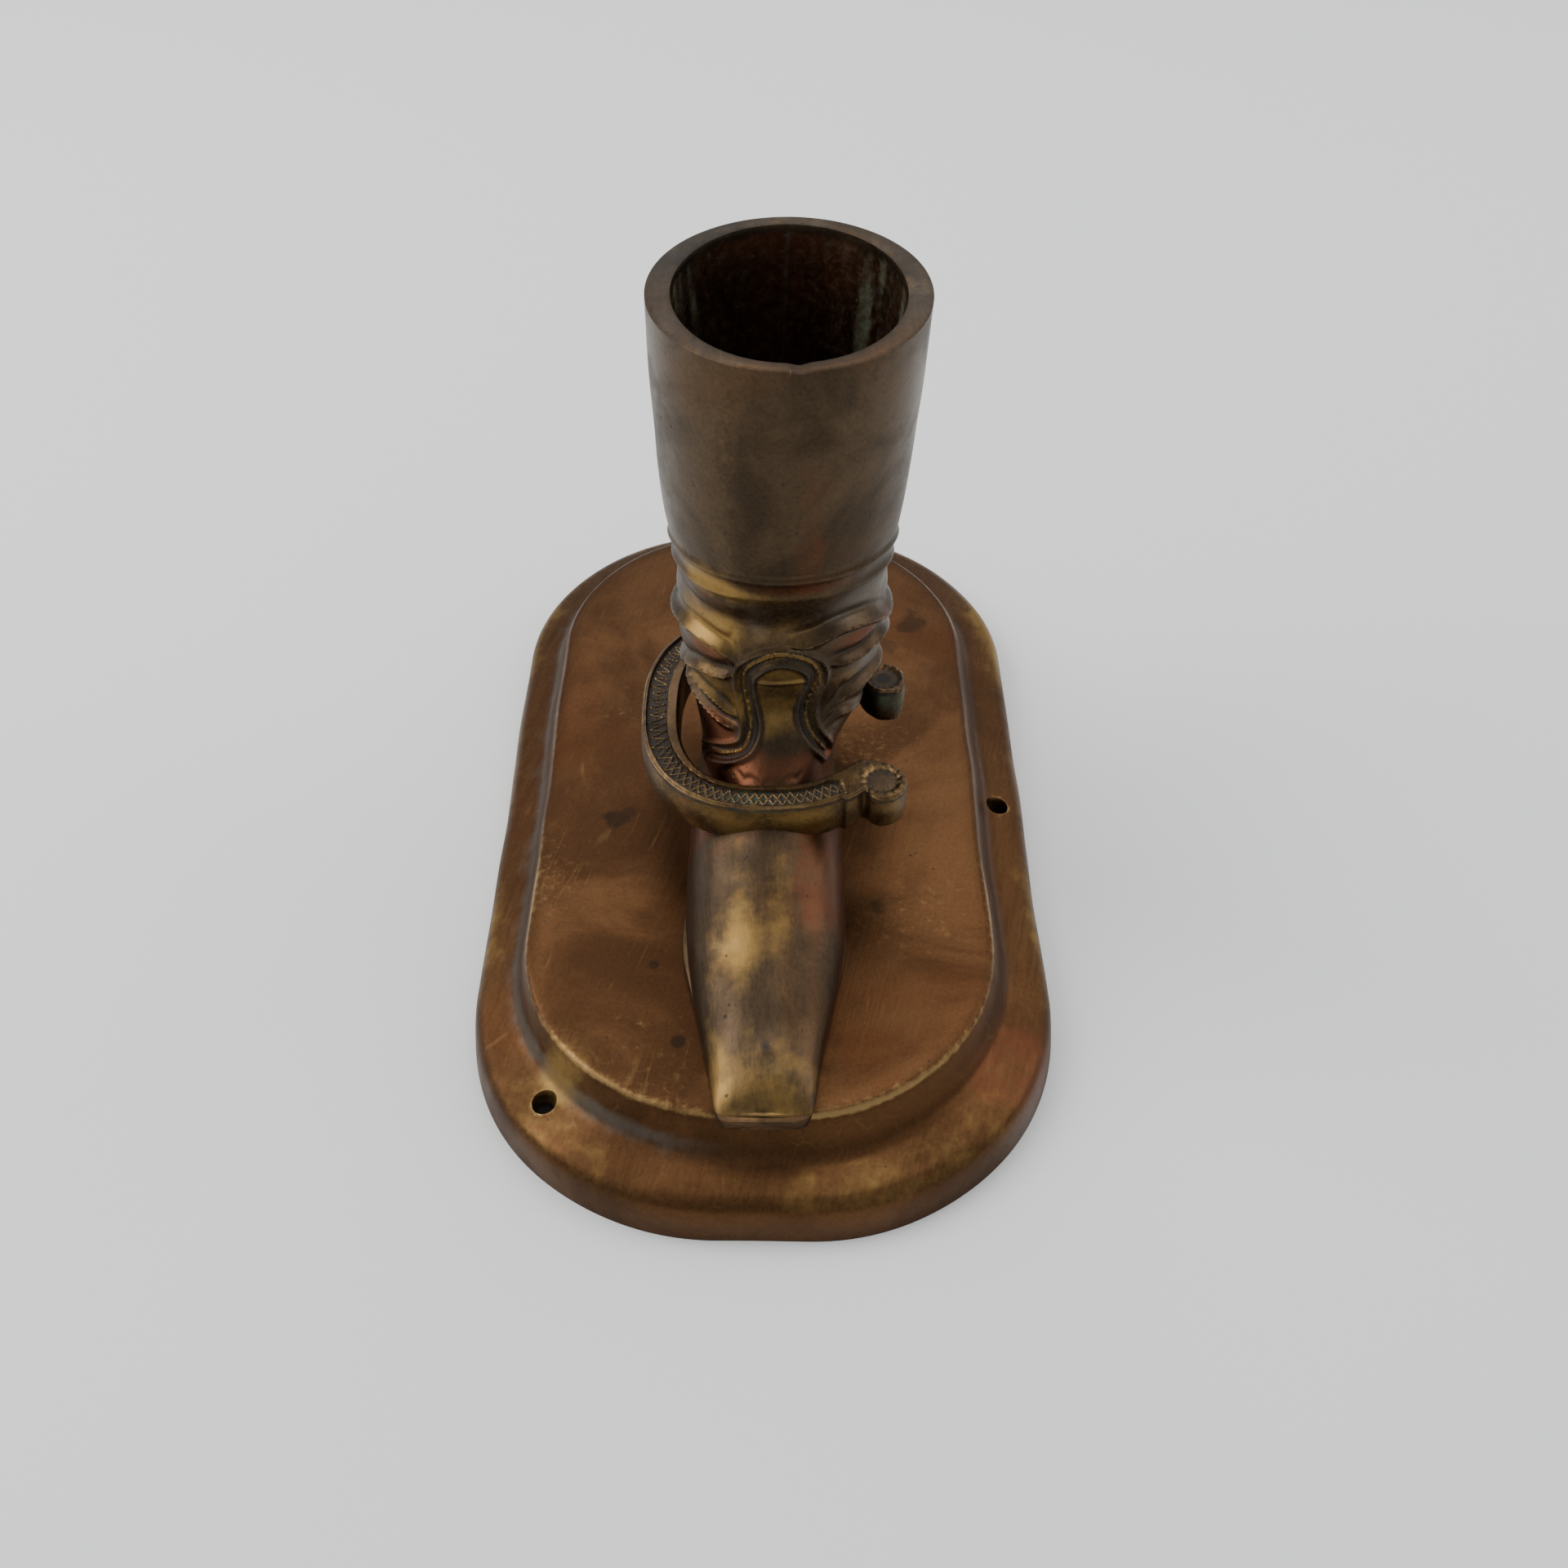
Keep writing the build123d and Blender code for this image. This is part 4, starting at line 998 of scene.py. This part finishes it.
def shoe_surface():
    edges, at = shoe_edges()
    outer, inner = edges[:, :2], edges[:, 2:]
    web = np.linalg.norm(inner - outer, axis=1)[:, None]
    share = np.linspace(0, 1, SHOE_TOP_POINTS)[None]
    across = web * share
    along = np.broadcast_to(at[:, None], across.shape)
    from_start, from_end = along, along.max() - along
    xy = outer[:, None] + (inner - outer)[:, None] * share[..., None]
    narrowing = ease(0.60, 0.74, along / along.max())
    width = np.minimum(BAND_WIDTH - 0.2 * narrowing, web - 1.4)
    run_out = ease(11.5, 12.5, from_start) * ease(11.3, 12.3, from_end)
    in_band = ease(BAND_INSET - 0.12, BAND_INSET + 0.12, across)
    in_band = in_band * ease(BAND_INSET + width + 0.12, BAND_INSET + width - 0.12, across) * run_out
    marks = chased_band(along, across, (BAND_INSET,), width)
    top = -in_band * (BAND_DEPTH - marks)
    edge_in = np.minimum(across, web - across)
    top -= 0.45 * (1 - ease(0, 0.5, edge_in))
    for centre in TIP_CENTRES:
        away = np.linalg.norm(xy - np.array(centre), axis=2)
        angle = np.arctan2(xy[..., 1] - centre[1], xy[..., 0] - centre[0])
        dish = ease(3.3, 2.4, away)
        nicks = 0.14 * np.abs(np.sin(7 * angle)) ** 6 * bell(away - 3, 0.8)
        top -= 0.50 * dish + nicks * (run_out < 0.5)
    top += 0.05 * ripple(xy[..., 0], xy[..., 1], top, 2.2, 3)
    bottom = shoe_low[2] + 0.9 * ease(10, 6, np.minimum(from_start, from_end))[:, :1]
    top_z = shoe_high[2] + top - 0.06
    upper = np.dstack([xy, top_z])
    drop = np.linspace(0, 1, 16)[1:-1][None]
    outward = (outer - inner) / web

    def wall(edge_points, edge_z, sign, bulge):
        """Side face from the top edge down to the rounded lower edge, bowed out by bulge."""
        z = edge_z[:, None] + (bottom - edge_z[:, None]) * drop
        under = ease(0.88, 1, drop) * 0.35
        out = sign * (bulge * np.sin(np.pi * drop) ** 2 - under)
        points = edge_points[:, None] + outward[:, None] * out[..., None]
        points = points + 0.07 * ripple(points[..., 0], points[..., 1], z, 3, 7)[..., None] * outward[:, None]
        return np.dstack([points, z])

    inner_wall = wall(inner, upper[:, -1, 2], -1, 0.12)
    outer_wall = wall(outer, upper[:, 0, 2], 1, 0.30)[:, ::-1]
    under_share = np.linspace(0.93, 0.07, 10)
    under_xy = outer[:, None] + (inner - outer)[:, None] * under_share[None, :, None]
    under = np.dstack([under_xy, np.broadcast_to(bottom, under_xy.shape[:2])])
    loops = np.hstack([upper, inner_wall, under, outer_wall])
    return closed_ends(loops)


shoe_grid = shoe_surface()
shoe_mesh = patch_mesh("horseshoe_cast", [(shoe_grid, True, False)])
shoe_x, shoe_y, shoe_z = vertex_positions(shoe_mesh).T
shoe_drift = ripple(shoe_x, shoe_y, shoe_z, 2.4, 4.4)
at_rear_tip = bell(np.hypot(shoe_x - 22.5, shoe_y - 1), 4.6) * ease(37.6, 36.2, shoe_z)
at_rear_tip *= 0.6 + 0.6 * shoe_drift
in_dish = np.maximum(*(ease(2.2, 0.9, np.hypot(shoe_x - x, shoe_y - y)) for x, y in TIP_CENTRES))
in_dish *= (shoe_z > shoe_high[2] - 1.2) * np.where(shoe_y > -10, 0.85, 0)
in_chasing = ease(shoe_high[2] - 0.40, shoe_high[2] - 0.7, shoe_z) * (shoe_z > shoe_high[2] - 1.2)
top_edge = bell(shoe_z - shoe_high[2] + 0.35, 0.28) * (shoe_z > shoe_high[2] - 0.9)
front_wall = ease(-24, -27, shoe_y) * ease(shoe_high[2] - 0.6, shoe_high[2] - 1.2, shoe_z)
green_hint = bell(shoe_x + 2, 7) * (shoe_y < -20) * in_chasing * 0.4
horseshoe_brass = brass_finish("horseshoe_brass_tarnished", light=(0.100, 0.062, 0.037),
                               dark=(0.058, 0.038, 0.024), patch=(0.085, 0.044, 0.023), patch_share=0.4,
                               cloud_size=95, rough=(0.34, 0.5), brushing=0.08, pit_share=0.18, grain=0.34)
shoe_gold = 0.66 * front_wall * (0.8 + 0.4 * shoe_drift) + 0.25 * ease(-14, -22, shoe_y) * (1 - front_wall)
# Painted highlight: a bright bare-brass line along the shoe's top edges, outside the chased band
shoe_wear = 0.45 * top_edge * (0.7 + 0.3 * shoe_drift) * (1 - in_chasing)
finish_piece("horseshoe_cast", shoe_mesh, horseshoe_brass, "horseshoe_brass", "horseshoe", rounds=1,
             masks={"dirt": np.maximum(in_chasing * 0.72, in_dish), "green": np.maximum(at_rear_tip,
                                                                                        green_hint),
                    "gold": shoe_gold, "red": 0.36 * front_wall * (0.7 + 0.6 * shoe_drift),
                    "grey": 0.30 * front_wall, "wear": shoe_wear}, wear=(0.35, 1.1), dirt=(0.25, 0.8))

# --------------------
# Horseshoe pins: two short dowels, driven into blind holes where the shoe meets the vamp and the ankle.
# --------------------
PIN_CHAMFER = 0.2
front_low, front_high = cad_box("horseshoe_front_pin")
rear_low, rear_high = cad_box("horseshoe_rear_pin")


def pin_profile(radius, low, high):
    return ((radius - PIN_CHAMFER, low), (radius, low + PIN_CHAMFER), (radius, high - PIN_CHAMFER),
            (radius - PIN_CHAMFER, high))


pin_r = (front_high[0] - front_low[0]) / 2
front_pin_mesh = turned("front_pin_turned", pin_profile(pin_r, front_low[2], front_high[2]),
                        front_low[0] + pin_r, front_low[1] + pin_r, 24)
rear_length = rear_high[1] - rear_low[1]
rear_pin_mesh = turned("rear_pin_turned", pin_profile(pin_r, -rear_length / 2, rear_length / 2), 0, 0, 24)
rear_points = vertex_positions(rear_pin_mesh)
rear_middle = (rear_low + rear_high) / 2
rear_points = np.stack([rear_points[:, 0], -rear_points[:, 2], rear_points[:, 1]], -1) + rear_middle
rear_pin_mesh.vertices.foreach_set("co", (rear_points * MM).ravel())
rear_pin_mesh.update()
fastener_brass = brass_finish("fastener_brass_tarnished", light=(0.30, 0.195, 0.09), dark=(0.15, 0.10, 0.05),
                              patch=(0.17, 0.09, 0.045), cloud_size=160, rough=(0.3, 0.45), brushing=0.12)


def finish_fasteners(*pieces):
    """Adds turned brass pieces, each given as (name, mesh, node)."""
    for name, mesh, node in pieces:
        finish_piece(name, mesh, fastener_brass, "fastener_brass", node)


finish_fasteners(("horseshoe_front_pin", front_pin_mesh, "horseshoe_front_pin"),
                 ("horseshoe_rear_pin", rear_pin_mesh, "horseshoe_rear_pin"))

# --------------------
# Heel stud, washer and nut: a threaded brass stud cast into the heel of the upper comes down through sole,
# heel and plateau, and the nut under the plateau pulls the boot tight.
# --------------------
THREAD_PITCH, THREAD_DEPTH = 0.8, 0.35
turns = int((stud_high[2] - stud_low[2] - 1) / THREAD_PITCH)
stud_rows = [(stud_r - THREAD_DEPTH - 0.2, stud_low[2])]
for turn_index in range(turns):
    root = stud_low[2] + 0.4 + turn_index * THREAD_PITCH
    stud_rows += [(stud_r - THREAD_DEPTH, root), (stud_r, root + THREAD_PITCH / 2)]
stud_rows += [(stud_r - THREAD_DEPTH, stud_high[2])]
stud_mesh = turned("stud_threaded", stud_rows, stud_x, stud_y, 40)

washer_low, washer_high = cad_box("heel_washer")
nut_low, nut_high = cad_box("heel_nut")


def ring_profile(inner_r, outer_r, low, high, break_edge):
    """Closed section of a washer or bush, from the bore round the outside and back."""
    return ((inner_r, low), (outer_r - break_edge, low), (outer_r, low + break_edge),
            (outer_r, high - break_edge), (outer_r - break_edge, high), (inner_r, high), (inner_r, low))


def turned_ring(name, profile, x, y, segments=48, flats=0):
    """Ring about an upright axis; with flats, its outer wall is a polygon and its bore stays round."""
    profile = np.array(profile)
    radius = np.repeat(profile[:, :1], segments, axis=1)
    if flats:
        around = np.linspace(0, 2 * np.pi, segments, endpoint=False)
        half = np.pi / flats
        stretch = 1 / np.cos((around + half) % (2 * half) - half)
        bore = profile[:, 0].min() + 0.01
        radius = np.where(radius > bore, np.minimum(radius * stretch, radius.max() / np.cos(half) * 0.985),
                          radius)
    return carried_round(name, radius, profile[:, 1:], x, y)


washer_mesh = turned_ring("washer_turned", ring_profile(stud_r + 0.2, (washer_high[0] - washer_low[0]) / 2,
                                                        washer_low[2], washer_high[2], 0.15), stud_x, stud_y)
nut_mesh = turned_ring("nut_milled", ring_profile(stud_r, (nut_high[1] - nut_low[1]) / 2 * 0.998, nut_low[2],
                                                  nut_high[2], 0.3), stud_x, stud_y, 72, 6)
finish_fasteners(("heel_stud_threaded", stud_mesh, "heel_stud"),
                 ("heel_washer_turned", washer_mesh, "heel_washer"),
                 ("heel_nut_milled", nut_mesh, "heel_nut"))

# --------------------
# Toe rivet and its washer: a soft brass rivet through toe, sole and plateau, domed over on top of the toe
# and against the washer underneath.
# --------------------
rivet_washer_low, rivet_washer_high = cad_box("toe_rivet_washer")
head_r = (rivet_high[0] - rivet_low[0]) / 2
head_top = rivet_washer_low[2]
dome = np.linspace(0.15, np.pi / 2, 8)
rivet_rows = [(head_r * math.sin(a), head_top - (head_top - rivet_low[2]) * math.cos(a)) for a in dome]
rivet_rows += [(RIVET_SHANK_R, head_top), (RIVET_SHANK_R, rivet_high[2] - 0.35)]
rivet_rows += [(RIVET_SHANK_R * math.cos(a), rivet_high[2] - 0.35 + 0.35 * math.sin(a))
               for a in (0.4, 0.8, 1.3)]
rivet_mesh = turned("rivet_headed", rivet_rows, rivet_x, rivet_y, 40)
rivet_washer_r = (rivet_washer_high[0] - rivet_washer_low[0]) / 2
rivet_washer_profile = ring_profile(RIVET_SHANK_R, rivet_washer_r, rivet_washer_low[2], rivet_washer_high[2],
                                    0.12)
rivet_washer_mesh = turned_ring("rivet_washer_turned", rivet_washer_profile, rivet_x, rivet_y)
finish_fasteners(("toe_rivet_headed", rivet_mesh, "toe_rivet"),
                 ("toe_rivet_washer_turned", rivet_washer_mesh, "toe_rivet_washer"))

# --------------------
# Stage: a pale matt floor, soft light from the left, the right and behind above, and the camera that looks
# down on the boot from in front of its toe.
# --------------------
FLOOR_HALF = 3
floor_mesh = bpy.data.meshes.new("pale_floor")
floor_mesh.from_pydata([(FLOOR_HALF * x, FLOOR_HALF * y, 0) for x, y in ((-1, -1), (1, -1), (1, 1), (-1, 1))],
                       [], [(0, 1, 2, 3)])
floor = bpy.data.objects.new("pale_floor", floor_mesh)
bpy.context.scene.collection.objects.link(floor)
floor_paint = bpy.data.materials.new("pale_floor_paint")
floor_paint.use_nodes = True
floor_shader = floor_paint.node_tree.nodes["Principled BSDF"].inputs
floor_shader["Base Color"].default_value = (0.87, 0.885, 0.86, 1)
floor_shader["Roughness"].default_value = 0.8
floor_mesh.materials.append(floor_paint)

world = bpy.data.worlds.new("soft_room")
world.use_nodes = True
background = world.node_tree.nodes["Background"].inputs
background["Color"].default_value = (0.94, 0.97, 1, 1)
background["Strength"].default_value = 0.50
bpy.context.scene.world = world

# Soft lights: name, place, size, power in watts, all aimed at the middle of the boot
SOFT_LIGHTS = (("window_left", (-0.75, 0.05, 0.72), 0.8, 8.2), ("window_right", (0.80, 0.20, 0.58), 0.7, 2.8),
               ("ceiling", (0.05, 0.50, 1.00), 0.9, 6))
AIM = Vector((0, 0, 0.05))
for name, place, size, power in SOFT_LIGHTS:
    light = bpy.data.lights.new(name, "AREA")
    light.energy, light.size = power, size
    lamp = bpy.data.objects.new(name, light)
    bpy.context.scene.collection.objects.link(lamp)
    lamp.location = place
    lamp.rotation_euler = (AIM - lamp.location).to_track_quat("-Z", "Y").to_euler()

CAMERA_PLACE = (0.0013514, -0.2034081, 0.2255431)
CAMERA_PITCH, CAMERA_YAW, CAMERA_ROLL = 0.80733, 0.011009, 0.0096253
ahead = Vector((math.sin(CAMERA_YAW) * math.cos(CAMERA_PITCH), math.cos(CAMERA_YAW) * math.cos(CAMERA_PITCH),
                -math.sin(CAMERA_PITCH)))
level = Vector((math.cos(CAMERA_YAW), -math.sin(CAMERA_YAW), 0))
upward = level.cross(ahead)
right = level * math.cos(CAMERA_ROLL) + upward * math.sin(CAMERA_ROLL)
up = upward * math.cos(CAMERA_ROLL) - level * math.sin(CAMERA_ROLL)
camera_data = bpy.data.cameras.new("camera")
camera_data.lens, camera_data.sensor_width, camera_data.clip_start = 36, 36, 0.01
camera = bpy.data.objects.new("camera", camera_data)
bpy.context.scene.collection.objects.link(camera)
camera.matrix_world = Matrix.LocRotScale(Vector(CAMERA_PLACE), Matrix((right, up, -ahead)).transposed(), None)
bpy.context.scene.camera = camera
